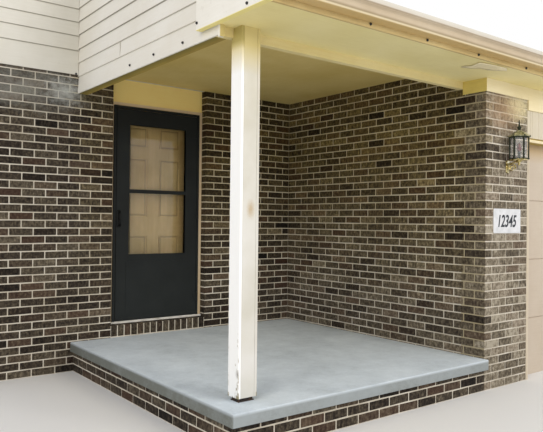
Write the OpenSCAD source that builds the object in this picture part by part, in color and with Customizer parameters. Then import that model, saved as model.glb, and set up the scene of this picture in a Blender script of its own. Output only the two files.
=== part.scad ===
// Brick entrance porch with one post, an eave with a gutter, and a door behind a storm door

/* [Floor] */
// Height of the porch floor above the ground
floor_h = 261; // [220:1:320]
// Thickness of the floor slab
slab_t = 80; // [60:1:120]
// How far the slab passes the brick skirt at the left
slab_over_side = 25; // [10:1:60]
// How far the slab passes the brick skirt in front
slab_over_front = 40; // [10:1:80]
// From the left edge of the doorway to the left edge of the slab
slab_left = 381; // [300:1:500]
// Thickness of the brick skirt under the slab
skirt_t = 200; // [150:1:260]

/* [Walls] */
// Thickness of the brick walls
wall_t = 230; // [200:1:260]
// Length of house wall left of the doorway
house_left = 1220; // [900:5:1600]
// From the left edge of the doorway to the garage wall
garage_x = 2118; // [1900:1:2400]
// From the house wall to the front face of the pier
garage_len = 2560; // [2300:1:2800]
// Width of the pier in front of the garage wall
pier_w = 620; // [500:1:760]
// Thickness of the wall that closes the right end
party_t = 50; // [40:1:90]

/* [Doorway] */
// Width of the doorway in the brick
opening_w = 1016; // [960:1:1100]
// Height of the brick sill above the floor
sill_h = 115; // [90:1:140]
// Thickness of the white threshold on the sill
threshold_t = 20; // [15:1:30]
// Height from the threshold to the underside of the frame head
door_clear_h = 2038; // [1950:1:2100]
// Width of each side of the door frame
frame_w = 52; // [48:1:60]
// From the brick face back to the door casing
casing_set = 84; // [70:1:95]
// Thickness of the door casing
casing_t = 31; // [24:1:40]
// Part of the casing that shows beside the storm door
casing_show = 40; // [36:1:44]
// Height of the casing above the storm door frame
casing_head = 32; // [20:1:60]
// From the brick face back to the panel over the door
head_set = 92; // [86:1:98]
// Height of the panel over the door, up to the ceiling
head_h = 221; // [190:1:260]

/* [Storm door] */
// Width of the storm door frame
storm_bar = 24; // [20:1:30]
// Thickness of the storm door frame
storm_bar_t = 16; // [12:1:18]
// Gap round a door leaf
leaf_gap = 5; // [5:0.5:7]
// Thickness of the storm door leaf
storm_t = 28; // [24:1:32]
// Width of the storm door stiles
storm_stile = 133; // [110:1:150]
// Height of the solid lower part of the storm door
kick_h = 632; // [560:1:700]
// Height of the lower glass
glass_low_h = 592; // [520:1:640]
// Height of the rail between the two glasses
mid_rail = 36; // [28:1:50]
// Height of the top rail of the storm door
storm_top = 146; // [110:1:170]
// Thickness of the glass
glass_t = 6; // [5:1:8]
// How far the storm door handle stands out
handle_reach = 42; // [34:1:50]
// From the bottom of the leaf to the middle of the handle
handle_up = 975; // [900:1:1050]
// From the ends of a leaf to the middle of the nearest hinge
hinge_in = 180; // [140:1:240]

/* [Entry door] */
// Thickness of the entry door leaf
entry_t = 44; // [38:1:48]
// Depth of the panels in the entry door
panel_cut = 8; // [5:1:12]
// How far the entry door knob stands out
knob_reach = 60; // [50:1:64]
// From the bottom of the leaf to the middle of the knob
knob_up = 915; // [860:1:1000]

/* [Post] */
// Width of the post across its front face
post_w = 140; // [120:1:160]
// Depth of the post from front to back
post_d = 112; // [105:1:150]
// From the doorway's left edge back to the left face of the post
post_left = 230; // [180:1:238]
// From the front face of the beam forward to the front face of the post
post_fore = 92; // [80:1:98]
// Height of the metal shoe under the post
shoe_h = 25; // [15:1:40]
// How far the shoe is set in from the faces of the post
shoe_set = 18; // [10:1:25]

/* [Beam and ceiling] */
// From the ceiling down to the underside of the beam
beam_drop = 210; // [200:1:300]
// How far the front of the beam stands back from the face of the pier
beam_back = 220; // [205:1:300]
// Thickness of the front beam from front to back
beam_t = 50; // [38:1:160]
// Thickness of the side wall over the left opening
gable_t = 81; // [70:1:84]
// From the doorway's left edge back to the outer face of the side siding
side_left = 344; // [334:1:360]
// Thickness of the siding boards
siding_t = 12; // [10:1:16]
// Thickness of the ceiling board
ceiling_t = 12; // [9:1:16]
// From the ceiling line down to the foot of the siding on the house wall
siding_drop = 45; // [20:1:70]

/* [Eave and roof] */
// From the ceiling down to the soffit
soffit_drop = 150; // [120:1:180]
// Thickness of the soffit board
soffit_t = 12; // [9:1:16]
// How far the fascia stands in front of the face of the pier
eave_over = 325; // [240:1:440]
// Thickness of the fascia board
fascia_t = 18; // [15:1:25]
// Height of the fascia board
fascia_h = 140; // [120:1:160]
// Rise of the roof from the fascia to the house wall
roof_h = 960; // [810:5:1040]
// Thickness of the roof deck
deck_t = 18; // [12:1:24]
// Thickness of the shingles
shingle_t = 14; // [10:1:20]
// How far the deck passes the fascia
deck_over = 20; // [15:1:30]
// How far the boxed eave end reaches back past the front of the beam
end_back = 195; // [95:1:340]
// How far the eave end stands out from the siding
end_proud = 41; // [30:1:60]
// Thickness of the rake board
rake_t = 22; // [16:1:26]
// Depth of the rake board
rake_h = 140; // [110:1:160]
// Depth of the frieze at the head of the pier
frieze_h = 108; // [90:1:130]
// Thickness of the frieze
frieze_t = 12; // [8:1:18]
// Height of the flashing on the house wall
flash_h = 60; // [40:1:90]
// How far the flashing runs down the shingles
flash_out = 110; // [80:1:160]
// Height of house wall above the flashing
wall_over = 257; // [150:1:500]

/* [Gutter] */
// Height of the gutter
gutter_h = 104; // [90:1:112]
// Depth of the gutter from back to front
gutter_w = 120; // [105:1:135]
// Thickness of the gutter walls
gutter_t = 3; // [2.5:0.5:4]

/* [Garage side] */
// Width of the trim beside the garage opening
trim_w = 60; // [45:1:90]
// Depth of the trim, from the face of the pier back to the garage door
trim_d = 100; // [80:1:130]
// Height of the wall over the garage opening, up to the soffit
header_h = 471; // [420:1:520]
// Height of the board at the top of that wall
header_board = 195; // [150:1:230]
// Width of the garage door that shows beside the trim
garage_show = 410; // [300:5:480]
// Thickness of the garage door
garage_door_t = 45; // [35:1:60]
// Height of one section of the garage door
section_h = 533; // [500:1:560]
// From the head of the opening down to the highest joint of the door
section_top = 511; // [480:1:560]
// Depth and height of the groove at each joint
section_groove = 8; // [5:1:12]

/* [Lantern] */
// From the garage wall line to the middle of the lantern
lantern_x = 317; // [240:1:350]
// Height of the lantern tray above the floor
lantern_z = 1643; // [1500:1:1700]
// From the pier face to the middle of the lantern
lantern_out = 108; // [106:1:150]
// Width of the lantern body
lantern_w = 150; // [120:1:165]
// Height of the lantern glass
lantern_h = 190; // [160:1:230]

/* [Number plate] */
// Width of the number plate
plate_w = 400; // [340:1:440]
// Height of the number plate
plate_h = 205; // [170:1:230]
// Height of the lower edge of the plate above the floor
plate_z = 1027; // [960:1:1100]
// Thickness of the plate
plate_t = 6; // [4:1:10]

/* [Hidden] */
$fn = 32;
// Heights above the ground
z_sill = floor_h + sill_h;
z_door = z_sill + threshold_t;
z_frame = z_door + door_clear_h;
z_storm = z_frame + storm_bar;
z_ceil = z_storm + casing_head + head_h;
z_beam = z_ceil - beam_drop;
z_soffit = z_ceil - soffit_drop;
z_siding = z_ceil - siding_drop;
z_eave = z_soffit + fascia_h;
z_head = z_soffit - header_h;
wall_top = z_eave + roof_h + deck_t + shingle_t + flash_h + wall_over;
// Distances from the house wall, and the slope of the roof
beam_front = garage_len - beam_back;
eave_front = garage_len + eave_over;
end_rear = beam_front - end_back;
roof_slope = roof_h / eave_front;
// Left, right, front and rear limits
x_gable = -side_left + siding_t;
x_room = x_gable + gable_t;
x_end = -side_left - end_proud;
x_trim = garage_x + pier_w;
x_right = x_trim + trim_w + garage_show;
y_beam = -beam_front;
y_pier = -garage_len;
y_party = y_pier + trim_d + garage_door_t;
y_eave = -eave_front;
y_gutter = y_eave - gutter_w;
y_rear = wall_t + knob_reach - 4;
mid_x = (x_right - house_left) / 2;
mid_y = (y_rear + y_gutter) / 2;
// Door leaves
leaf_bottom = z_door + leaf_gap;
leaf_top = z_frame - leaf_gap;
storm_x0 = casing_show + storm_bar + leaf_gap;
storm_x1 = opening_w - storm_x0;
storm_y = casing_set - storm_bar_t;
entry_x0 = frame_w + leaf_gap;
entry_x1 = opening_w - entry_x0;
entry_y = wall_t - 4 - entry_t;
pin_r = 2.2;
storm_hx = storm_x1 + leaf_gap;
storm_hy = storm_y - 10;
entry_hx = entry_x1 + leaf_gap / 2;
entry_hy = wall_t + 5.5;
pane_x0 = storm_x0 + storm_stile;
pane_x1 = storm_x1 - storm_stile;
low_z0 = leaf_bottom + kick_h;
low_z1 = low_z0 + glass_low_h;
high_z0 = low_z1 + mid_rail;
high_z1 = leaf_top - storm_top;
// Room left between sloping faces that bear on each other
seat_gap = 0.3;
// Lantern
lan_x = garage_x + lantern_x;
lan_y = y_pier - lantern_out;
lan_z = floor_h + lantern_z;

// Underside of the roof deck at a distance y from the house wall
function under(y) = z_eave + (y - y_eave) * roof_slope;

// Top of a piece that carries the roof deck, at a distance y from the house wall
function seat(y) = under(y) - seat_gap;

// A box given by its limits
module block(x0, x1, y0, y1, z0, z1)
    translate([x0, y0, z0]) cube([x1 - x0, y1 - y0, z1 - z0]);

// A side view, drawn as depth and height, run from x0 to x1
module run_x(x0, x1)
    translate([x0, 0, 0]) rotate([90, 0, 90]) linear_extrude(x1 - x0) children();

// Puts the whole porch with the middle of its base at the origin
module placed()
    translate([-mid_x, -mid_y, 0]) children();

module brick_skirt()
    color("#5b4a3f") placed() {
        x0 = -slab_left + slab_over_side;
        difference() {
            block(x0, garage_x, y_pier, 0, 0, floor_h - slab_t);
            block(x0 + skirt_t, garage_x + 1, y_pier + skirt_t, 1, -1, floor_h);
        }
    }

module porch_slab()
    color("#b9bec0") placed()
        block(-slab_left, garage_x, y_pier - slab_over_front, 0, floor_h - slab_t, floor_h);

module wall_left()
    color("#5b4a3f") placed()
        block(-house_left, 0, 0, wall_t, 0, z_ceil);

module wall_right()
    color("#5b4a3f") placed()
        block(opening_w, x_right, 0, wall_t, 0, z_ceil);

module wall_over_door()
    color("#cdbb95") placed()
        block(0, opening_w, casing_set + casing_t, wall_t, z_storm, z_ceil);

module upper_wall()
    color("#d8cfb8") placed()
        block(-house_left, x_right, 0, wall_t, z_ceil, wall_top);

module garage_wall()
    color("#5b4a3f") placed()
        block(garage_x, garage_x + wall_t, y_pier + wall_t, 0, 0, z_ceil);

module garage_pier()
    color("#5b4a3f") placed()
        block(garage_x, garage_x + pier_w, y_pier, y_pier + wall_t, 0, z_soffit);

module party_wall()
    color("#d8cfb8") placed()
        run_x(x_right - party_t, x_right)
            polygon([[y_party, 0], [0, 0], [0, seat(0)], [y_party, seat(y_party)]]);

module pier_frieze()
    color("#e3dcc0") placed()
        difference() {
            block(garage_x - frieze_t, garage_x + pier_w, y_pier - frieze_t, y_beam, z_soffit - frieze_h, z_soffit);
            block(garage_x, garage_x + pier_w + 1, y_pier, y_beam + 1, z_soffit - frieze_h - 1, z_soffit + 1);
        }

module garage_casing()
    color("#e6dcc4") placed()
        block(x_trim, x_trim + trim_w, y_pier, y_pier + trim_d, 0, z_head);

// Wall over the garage opening, with a board across its top
module garage_header()
    color("#e3dcc0") placed() {
        block(x_trim, x_right, y_pier, y_pier + trim_d, z_head, z_soffit);
        block(x_trim, x_right, y_pier - frieze_t, y_pier + 1, z_soffit - header_board, z_soffit);
    }

// Edge of the garage door, in sections with a groove at each joint
module garage_door_edge()
    color("#e3d0bd") placed()
        difference() {
            block(x_trim, x_right, y_pier + trim_d, y_party, 0, z_head + 40);
            for (z = [z_head - section_top : -section_h : 1])
                block(x_trim - 1, x_right + 1, y_pier + trim_d - 1, y_pier + trim_d + section_groove,
                    z - section_groove / 2, z + section_groove / 2);
        }

module sill_bricks()
    color("#54433a") placed()
        block(0, opening_w, 0, casing_set + casing_t, floor_h, z_sill);

module threshold()
    color("#ece9e2") placed()
        block(0, opening_w, casing_set - storm_bar_t, wall_t, z_sill, z_door);

// Heights of the three hinges of each door leaf
hinge_z = [leaf_bottom + hinge_in, (leaf_bottom + leaf_top) / 2, leaf_top - hinge_in];

// Fixed half of a hinge: pin and two knuckles about the point x, y, reaching half_l up and down
module hinge_fixed(x, y, half_l)
    for (z = hinge_z) translate([x, y, z]) {
        translate([0, 0, -half_l]) cylinder(r = pin_r, h = 2 * half_l);
        for (s = [-1, 1])
            translate([0, 0, s * (half_l - 7.5) - 7.5]) cylinder(r = 5, h = 15);
    }

// Moving knuckle of a hinge with a bore for the pin
module hinge_moving(x, y, half_l)
    for (z = hinge_z) translate([x, y, z - half_l + 16]) difference() {
        cylinder(r = 5, h = 2 * half_l - 32);
        translate([0, 0, -1]) cylinder(r = pin_r + 0.3, h = 2 * half_l - 30);
    }

// Jambs, head, stops that the entry door closes against, and fixed hinge halves
module door_frame()
    color("#cdbb95") placed() {
        y0 = casing_set + casing_t;
        stop_y = entry_y - leaf_gap - 25;
        hinge_fixed(entry_hx, entry_hy, 45);
        for (z = hinge_z, s = [-1, 1])
            block(entry_hx + 3.5, entry_hx + 30, wall_t, wall_t + 5, z + s * 37.5 - 7.5, z + s * 37.5 + 7.5);
        difference() {
            block(0, opening_w, y0, wall_t, z_door, z_storm);
            block(frame_w, opening_w - frame_w, y0 - 1, wall_t + 1, z_door - 1, z_frame);
        }
        difference() {
            block(frame_w - 1, opening_w - frame_w + 1, stop_y, stop_y + 25, z_door, z_frame + 1);
            block(frame_w + 12, opening_w - frame_w - 12, stop_y - 1, stop_y + 26, z_door - 1, z_frame - 12);
        }
    }

module door_casing()
    color("#d6c8a4") placed()
        difference() {
            block(0, opening_w, casing_set, casing_set + casing_t, z_door, z_storm + casing_head);
            block(frame_w, opening_w - frame_w, casing_set - 1, casing_set + casing_t + 1, z_door - 1, z_frame + 12);
        }

module head_panel()
    color("#c9b377") placed()
        block(0, opening_w, head_set, casing_set + casing_t, z_storm + casing_head, z_ceil);

// Frame round the storm door with the fixed halves of its hinges
module storm_frame()
    color("#23282a") placed() {
        difference() {
            block(casing_show, opening_w - casing_show, storm_y, casing_set, z_door, z_storm);
            block(casing_show + storm_bar, opening_w - casing_show - storm_bar,
                storm_y - 1, casing_set + 1, z_door - 1, z_frame);
        }
        hinge_fixed(storm_hx, storm_hy, 50);
        for (z = hinge_z, s = [-1, 1])
            block(storm_hx + 1, storm_hx + 12, storm_hy - 2, storm_y, z + s * 42.5 - 7.5, z + s * 42.5 + 7.5);
    }

// Stiles, rails and the moving hinge knuckles
module storm_leaf()
    color("#23282a") placed() {
        difference() {
            block(storm_x0, storm_x1, storm_y, storm_y + storm_t, leaf_bottom, leaf_top);
            block(pane_x0, pane_x1, storm_y - 1, storm_y + storm_t + 1, low_z0, low_z1);
            block(pane_x0, pane_x1, storm_y - 1, storm_y + storm_t + 1, high_z0, high_z1);
        }
        hinge_moving(storm_hx, storm_hy, 50);
        for (z = hinge_z) {
            block(storm_x1 - 30, storm_x1, storm_y - 5, storm_y, z - 34, z + 34);
            block(storm_x1 - 5, storm_hx - pin_r - 1, storm_hy - 1, storm_y - 5, z - 34, z + 34);
        }
    }

module storm_glass()
    color("#8fa09c", 0.35) placed() {
        y0 = storm_y + (storm_t - glass_t) / 2;
        block(pane_x0, pane_x1, y0, y0 + glass_t, low_z0, low_z1);
        block(pane_x0, pane_x1, y0, y0 + glass_t, high_z0, high_z1);
    }

module kick_panel()
    color("#23282a") placed()
        block(pane_x0 - 30, pane_x1 + 30, storm_y - 3, storm_y, leaf_bottom + 60, low_z0 - 70);

// Pull outside and a low latch inside
module storm_handle()
    color("#151718") placed() {
        x = storm_x0 + 26;
        z = leaf_bottom + handle_up;
        block(x - 21, x + 21, storm_y - 6, storm_y, z - 64, z + 64);
        for (s = [-1, 1]) translate([x, storm_y, z + s * 64]) rotate([90, 0, 0]) {
            cylinder(r = 21, h = 6);
            cylinder(r = 6, h = handle_reach);
        }
        translate([x, storm_y - handle_reach, z - 74]) cylinder(r = 8, h = 148);
        block(x - 14, x + 14, storm_y + storm_t, storm_y + storm_t + 12, z - 45, z + 45);
    }

// Leaf with six panels on each face and the moving hinge knuckles
module entry_leaf()
    color("#9d8460") placed() {
        w = entry_x1 - entry_x0;
        stile = 158;
        mull = 126;
        pw = (w - 2 * stile - mull) / 2;
        rows = [[0.1125, 0.398], [0.4915, 0.777], [0.83, 0.93]];
        h = leaf_top - leaf_bottom;
        hinge_moving(entry_hx, entry_hy, 45);
        for (z = hinge_z)
            block(entry_x1 - 30, entry_hx - pin_r - 1, entry_y + entry_t, entry_hy - 1, z - 29, z + 29);
        difference() {
            block(entry_x0, entry_x1, entry_y, entry_y + entry_t, leaf_bottom, leaf_top);
            for (r = rows, i = [0, 1], f = [0, 1]) {
                px = entry_x0 + stile + i * (pw + mull);
                py = f == 0 ? entry_y - 1 : entry_y + entry_t - panel_cut;
                block(px, px + pw, py, py + panel_cut + 1, leaf_bottom + r[0] * h, leaf_bottom + r[1] * h);
            }
        }
        for (r = rows, i = [0, 1], f = [0, 1]) {
            px = entry_x0 + stile + i * (pw + mull);
            py = f == 0 ? entry_y + 2 : entry_y + entry_t - panel_cut - 1;
            block(px + 30, px + pw - 30, py, py + panel_cut - 1,
                leaf_bottom + r[0] * h + 30, leaf_bottom + r[1] * h - 30);
        }
    }

module entry_knob()
    color("#b08d45") placed()
        for (f = [0, 1]) {
            x = entry_x0 + 70;
            y = f == 0 ? entry_y : entry_y + entry_t;
            translate([x, y, leaf_bottom + knob_up]) rotate([f == 0 ? 90 : -90, 0, 0]) {
                cylinder(r = 33, h = 8);
                cylinder(r = 11, h = knob_reach - 20);
                translate([0, 0, knob_reach - 30]) cylinder(r = 26, h = 30);
            }
        }

// Post, notched at the back of its head for the beam
module porch_post()
    color("#efeadf") placed()
        difference() {
            block(-post_left, post_w - post_left, y_beam - post_fore, y_beam - post_fore + post_d,
                floor_h + shoe_h, z_soffit);
            block(-post_left - 1, post_w - post_left + 1, y_beam, y_beam + post_d, z_beam, z_soffit + 1);
        }

module post_shoe()
    color("#2b2c2b") placed() {
        x0 = -post_left + shoe_set;
        y0 = y_beam - post_fore + shoe_set;
        block(x0, x0 + post_w - 2 * shoe_set, y0, y0 + post_d - 2 * shoe_set, floor_h, floor_h + shoe_h);
    }

module front_beam()
    color("#e3dcc0") placed()
        block(x_gable, garage_x, y_beam, y_beam + beam_t, z_beam, z_ceil);

// Wall over the left opening, from the underside of the beam to the roof
module gable_wall()
    color("#d8cfb8") placed()
        difference() {
            run_x(x_gable, x_room)
                polygon([[y_beam, z_beam], [0, z_beam], [0, seat(0)], [y_beam, seat(y_beam)]]);
            block(x_gable - 1, x_room + 1, y_beam - 1, y_beam + beam_t, z_beam - 1, z_ceil);
        }

module side_siding()
    color("#e4dfd0") placed()
        run_x(-side_left, x_gable)
            polygon([[y_beam, z_beam], [0, z_beam], [0, seat(0)], [y_beam, seat(y_beam)]]);

module corner_trim()
    color("#efeadf") placed()
        block(-side_left, x_gable + 20, y_beam - 26, y_beam, z_beam - 13, z_soffit);

module porch_ceiling()
    color("#dcd3ae") placed()
        block(x_room, garage_x, y_beam + beam_t, 0, z_ceil - ceiling_t, z_ceil);

// Soffit from the fascia back to the beam, over the pier and over the garage header
module eave_soffit()
    color("#d9cfa6") placed() {
        y0 = y_eave + fascia_t;
        z1 = z_soffit + soffit_t;
        block(-side_left, garage_x, y0, y_beam, z_soffit, z1);
        block(garage_x - 1, garage_x + pier_w + 1, y0, min(y_beam, y_pier + wall_t), z_soffit, z1);
        block(x_trim, x_right, y0, y_pier + trim_d, z_soffit, z1);
    }

module fascia_board()
    color("#e0cdb2") placed()
        run_x(-side_left, x_right)
            polygon([[y_eave, z_soffit], [y_eave + fascia_t, z_soffit],
                [y_eave + fascia_t, seat(y_eave + fascia_t)], [y_eave, seat(y_eave)]]);

module eave_end()
    color("#efece4") placed()
        run_x(x_end, -side_left)
            polygon([[y_eave, z_soffit], [-end_rear, z_soffit], [-end_rear, seat(-end_rear)], [y_eave, seat(y_eave)]]);

module rake_board()
    color("#efece4") placed()
        run_x(-side_left - rake_t, -side_left)
            polygon([[-end_rear, under(-end_rear) - rake_h], [0, under(0) - rake_h], [0, seat(0)],
                [-end_rear, seat(-end_rear)]]);

// Siding of the house wall: left of the side wall, and above the roof
module wall_siding()
    color("#e4dfd0") placed() {
        z1 = under(-siding_t) - rake_h - seat_gap;
        z2 = under(0) + deck_t + shingle_t + seat_gap + flash_h;
        block(-house_left, -side_left, -siding_t, 0, z_siding, z1);
        block(-house_left, x_end, -siding_t, 0, z1 - 1, wall_top);
        block(x_end - 1, x_right, -siding_t, 0, z2, wall_top);
    }

module roof_deck()
    color("#8a7a5f") placed()
        run_x(x_end, x_right)
            polygon([[y_eave - deck_over, under(y_eave - deck_over)], [0, under(0)], [0, under(0) + deck_t],
                [y_eave - deck_over, under(y_eave - deck_over) + deck_t]]);

module roof_shingles()
    color("#5a544c") placed()
        run_x(x_end, x_right)
            polygon([[y_eave - deck_over, under(y_eave - deck_over) + deck_t], [0, under(0) + deck_t],
                [0, under(0) + deck_t + shingle_t],
                [y_eave - deck_over, under(y_eave - deck_over) + deck_t + shingle_t]]);

module roof_flashing()
    color("#9a9a94") placed() {
        top = under(0) + deck_t + shingle_t + seat_gap;
        run_x(x_end, x_right)
            polygon([[0, top], [0, top + flash_h], [-3, top + flash_h], [-3, top + 2],
                [-flash_out, top + 2 - (flash_out - 3) * roof_slope], [-flash_out, top - flash_out * roof_slope]]);
    }

// Outer side view of the gutter, with a stepped front
module gutter_outer() {
    z0 = z_eave - gutter_h;
    polygon([[y_eave, z0], [y_eave, z_eave - 8], [y_gutter, z_eave - 8], [y_gutter, z_eave - 34],
        [y_gutter + 14, z_eave - 48], [y_gutter + 28, z0 + 24], [y_gutter + 42, z0]]);
}

// Inner side view of the gutter
module gutter_inner() {
    z0 = z_eave - gutter_h;
    t = gutter_t;
    polygon([[y_eave - t, z0 + t], [y_eave - t, z_eave + 1], [y_gutter + t, z_eave + 1],
        [y_gutter + t, z_eave - 35], [y_gutter + 15 + t, z_eave - 50],
        [y_gutter + 29 + t, z0 + 24], [y_gutter + 41 + t, z0 + t]]);
}

// Gutter trough, closed at both ends
module rain_gutter()
    color("#e0cdb2") placed() {
        run_x(x_end + gutter_t, x_right - gutter_t) difference() {
            gutter_outer();
            gutter_inner();
        }
        run_x(x_end, x_end + gutter_t) gutter_outer();
        run_x(x_right - gutter_t, x_right) gutter_outer();
    }

// Plate on the brick, arm, scroll and tray of the lantern
module lantern_bracket()
    color("#b08d45") placed() {
        block(lan_x - 26, lan_x + 26, y_pier - 10, y_pier, lan_z - 108, lan_z);
        block(lan_x - 6, lan_x + 6, lan_y, y_pier - 5, lan_z - 36, lan_z - 24);
        translate([lan_x, lan_y, lan_z - 50]) cylinder(r = 10, h = 45);
        translate([lan_x, lan_y, lan_z - 8]) cylinder(r = lantern_w / 2 - 4, h = 8);
        translate([lan_x - 5, y_pier - 44, lan_z - 64]) rotate([0, 90, 0])
            difference() {
                cylinder(r = 38, h = 10);
                translate([0, 0, -1]) cylinder(r = 28, h = 12);
            }
    }

// Six corner bars, roof and finial
module lantern_frame()
    color("#1f1d1a") placed() {
        r = lantern_w / 2;
        translate([lan_x, lan_y, lan_z]) {
            difference() {
                cylinder(r = r, h = 8, $fn = 6);
                translate([0, 0, -1]) cylinder(r = r - 12, h = 10, $fn = 6);
            }
            for (a = [0 : 60 : 300])
                rotate([0, 0, a]) translate([r - 9, -4, 0]) cube([8, 8, lantern_h]);
            translate([0, 0, lantern_h]) cylinder(r = r + 10, h = 8, $fn = 6);
            translate([0, 0, lantern_h + 8]) cylinder(r1 = r, r2 = 16, h = 46, $fn = 6);
            translate([0, 0, lantern_h + 50]) cylinder(r = 10, h = 20);
            translate([0, 0, lantern_h + 76]) sphere(r = 15);
            translate([0, 0, lantern_h + 85]) cylinder(r1 = 6, r2 = 3, h = 56);
        }
    }

module lantern_glass()
    color("#c8cfc4", 0.35) placed()
        translate([lan_x, lan_y, lan_z + 8])
            difference() {
                cylinder(r = lantern_w / 2 - 12, h = lantern_h - 8, $fn = 6);
                translate([0, 0, 4]) cylinder(r = lantern_w / 2 - 16, h = lantern_h - 16, $fn = 6);
            }

module number_plate()
    color("#f1f0ec") placed() {
        x = garage_x + (pier_w - plate_w) / 2;
        z = floor_h + plate_z;
        block(x, x + plate_w, y_pier - plate_t, y_pier, z, z + plate_h);
    }

brick_skirt();
porch_slab();
wall_left();
wall_right();
wall_over_door();
upper_wall();
garage_wall();
garage_pier();
party_wall();
pier_frieze();
garage_casing();
garage_header();
garage_door_edge();
sill_bricks();
threshold();
door_frame();
door_casing();
head_panel();
storm_frame();
storm_leaf();
storm_glass();
kick_panel();
storm_handle();
entry_leaf();
entry_knob();
porch_post();
post_shoe();
front_beam();
gable_wall();
side_siding();
corner_trim();
porch_ceiling();
eave_soffit();
fascia_board();
eave_end();
rake_board();
wall_siding();
roof_deck();
roof_shingles();
roof_flashing();
rain_gutter();
lantern_bracket();
lantern_frame();
lantern_glass();
number_plate();
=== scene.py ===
# %% [markdown]
# # A brick entrance porch
# The real thing is a porch in the corner between a brick house wall and the side wall of its garage.
# It has a concrete floor on a brick skirt, one painted post, a boxed eave with a gutter, and a storm
# door in front of a panelled door. The plain solids come packed from the source. This lesson dresses
# them: bricks are laid one by one, boards lap, shingles overlap, and every surface gets its finish.

# %% Load the solids
import math
import random
import bpy
import bmesh
from mathutils import Matrix, Vector


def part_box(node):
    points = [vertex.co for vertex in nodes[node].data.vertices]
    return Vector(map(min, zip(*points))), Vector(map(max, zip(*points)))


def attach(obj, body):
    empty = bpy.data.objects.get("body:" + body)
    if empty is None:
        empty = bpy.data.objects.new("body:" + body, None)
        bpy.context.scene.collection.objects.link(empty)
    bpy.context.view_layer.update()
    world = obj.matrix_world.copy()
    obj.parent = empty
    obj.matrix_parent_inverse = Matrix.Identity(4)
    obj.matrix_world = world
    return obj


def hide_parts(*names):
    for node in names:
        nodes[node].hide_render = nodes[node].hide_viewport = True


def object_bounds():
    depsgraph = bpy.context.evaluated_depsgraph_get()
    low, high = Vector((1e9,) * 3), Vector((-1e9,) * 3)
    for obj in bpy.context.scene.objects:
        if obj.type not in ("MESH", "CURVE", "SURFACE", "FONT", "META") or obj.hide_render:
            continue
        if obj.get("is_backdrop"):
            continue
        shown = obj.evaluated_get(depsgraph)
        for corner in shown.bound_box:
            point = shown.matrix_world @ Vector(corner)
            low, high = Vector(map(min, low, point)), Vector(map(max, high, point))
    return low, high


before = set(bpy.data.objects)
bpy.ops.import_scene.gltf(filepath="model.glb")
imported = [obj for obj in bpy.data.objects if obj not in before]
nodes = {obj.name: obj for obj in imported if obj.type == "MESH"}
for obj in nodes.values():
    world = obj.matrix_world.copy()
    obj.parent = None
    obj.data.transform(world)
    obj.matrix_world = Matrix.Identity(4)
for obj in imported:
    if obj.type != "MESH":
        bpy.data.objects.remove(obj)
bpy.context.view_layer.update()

# %% [markdown]
# ## Camera, floor and light
# The camera stands where the photographer stood, at eye height in front of the left end. Its place
# and lens were worked out from the brick courses, which are a ruler built into the wall. The floor is
# a plain pale sheet and the sky a plain soft light, so that every colour shows about as it is written.

# %% Camera
EYE = Vector((-3.404, -4.2245, 1.371))
YAW, PITCH, ROLL = math.radians(37.523), math.radians(0.434), math.radians(0.621)
FOCAL_PIXELS, PHOTO_WIDTH, SENSOR = 630.6, 543.0, 36.0

ahead = Vector((math.sin(YAW) * math.cos(PITCH), math.cos(YAW) * math.cos(PITCH), math.sin(PITCH)))
level = Vector((math.cos(YAW), -math.sin(YAW), 0))
upright = level.cross(ahead)
right = level * math.cos(ROLL) + upright * math.sin(ROLL)
up = upright * math.cos(ROLL) - level * math.sin(ROLL)

lens = bpy.data.cameras.new("photo_camera")
lens.sensor_width = SENSOR
lens.lens = FOCAL_PIXELS / PHOTO_WIDTH * SENSOR
camera = bpy.data.objects.new("photo_camera", lens)
camera.matrix_world = Matrix((right, up, -ahead)).transposed().to_4x4()
camera.location = EYE
bpy.context.scene.collection.objects.link(camera)
bpy.context.scene.camera = camera
bpy.context.scene.view_settings.view_transform = "Standard"
print("lens in mm:", round(lens.lens, 2))


# %% One helper for colours and one for nodes
def linear(code):
    """An sRGB hex colour as the linear values that a shader takes."""
    parts = [int(code[i:i + 2], 16) / 255 for i in (1, 3, 5)]
    return tuple(c / 12.92 if c <= 0.04045 else ((c + 0.055) / 1.055) ** 2.4 for c in parts) + (1.0,)


def add(tree, kind, inputs=None, stops=None, **settings):
    """Adds a node, sets what it is told, and links the inputs that are sockets."""
    node = tree.nodes.new(kind)
    for key, value in settings.items():
        setattr(node, key, value)
    if stops:
        ramp = node.color_ramp.elements
        while len(ramp) < len(stops):
            ramp.new(0.5)
        for element, (place, colour) in zip(ramp, stops):
            element.position = place
            element.color = linear(colour) if isinstance(colour, str) else (colour, colour, colour, 1.0)
    for key, value in (inputs or {}).items():
        socket = node.inputs[key]
        if isinstance(value, bpy.types.NodeSocket):
            tree.links.new(value, socket)
        else:
            socket.default_value = value
    return node


print("middle grey as the shader takes it:", [round(c, 3) for c in linear("#808080")])

# %% World and floor
world = bpy.data.worlds.new("soft_sky")
bpy.context.scene.world = world
world.use_nodes = True
sky = world.node_tree
sky.nodes.clear()
rays = add(sky, "ShaderNodeLightPath")
seen = add(sky, "ShaderNodeMath", {0: rays.outputs["Is Camera Ray"], 1: rays.outputs["Is Transmission Ray"]},
           operation="MAXIMUM")
lit = add(sky, "ShaderNodeBackground", {"Color": linear("#f4f6ff"), "Strength": 0.72})
shown = add(sky, "ShaderNodeBackground", {"Color": (1, 1, 1, 1), "Strength": 1.0})
both = add(sky, "ShaderNodeMixShader", {0: seen.outputs[0], 1: lit.outputs[0], 2: shown.outputs[0]})
add(sky, "ShaderNodeOutputWorld", {"Surface": both.outputs[0]})

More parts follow.
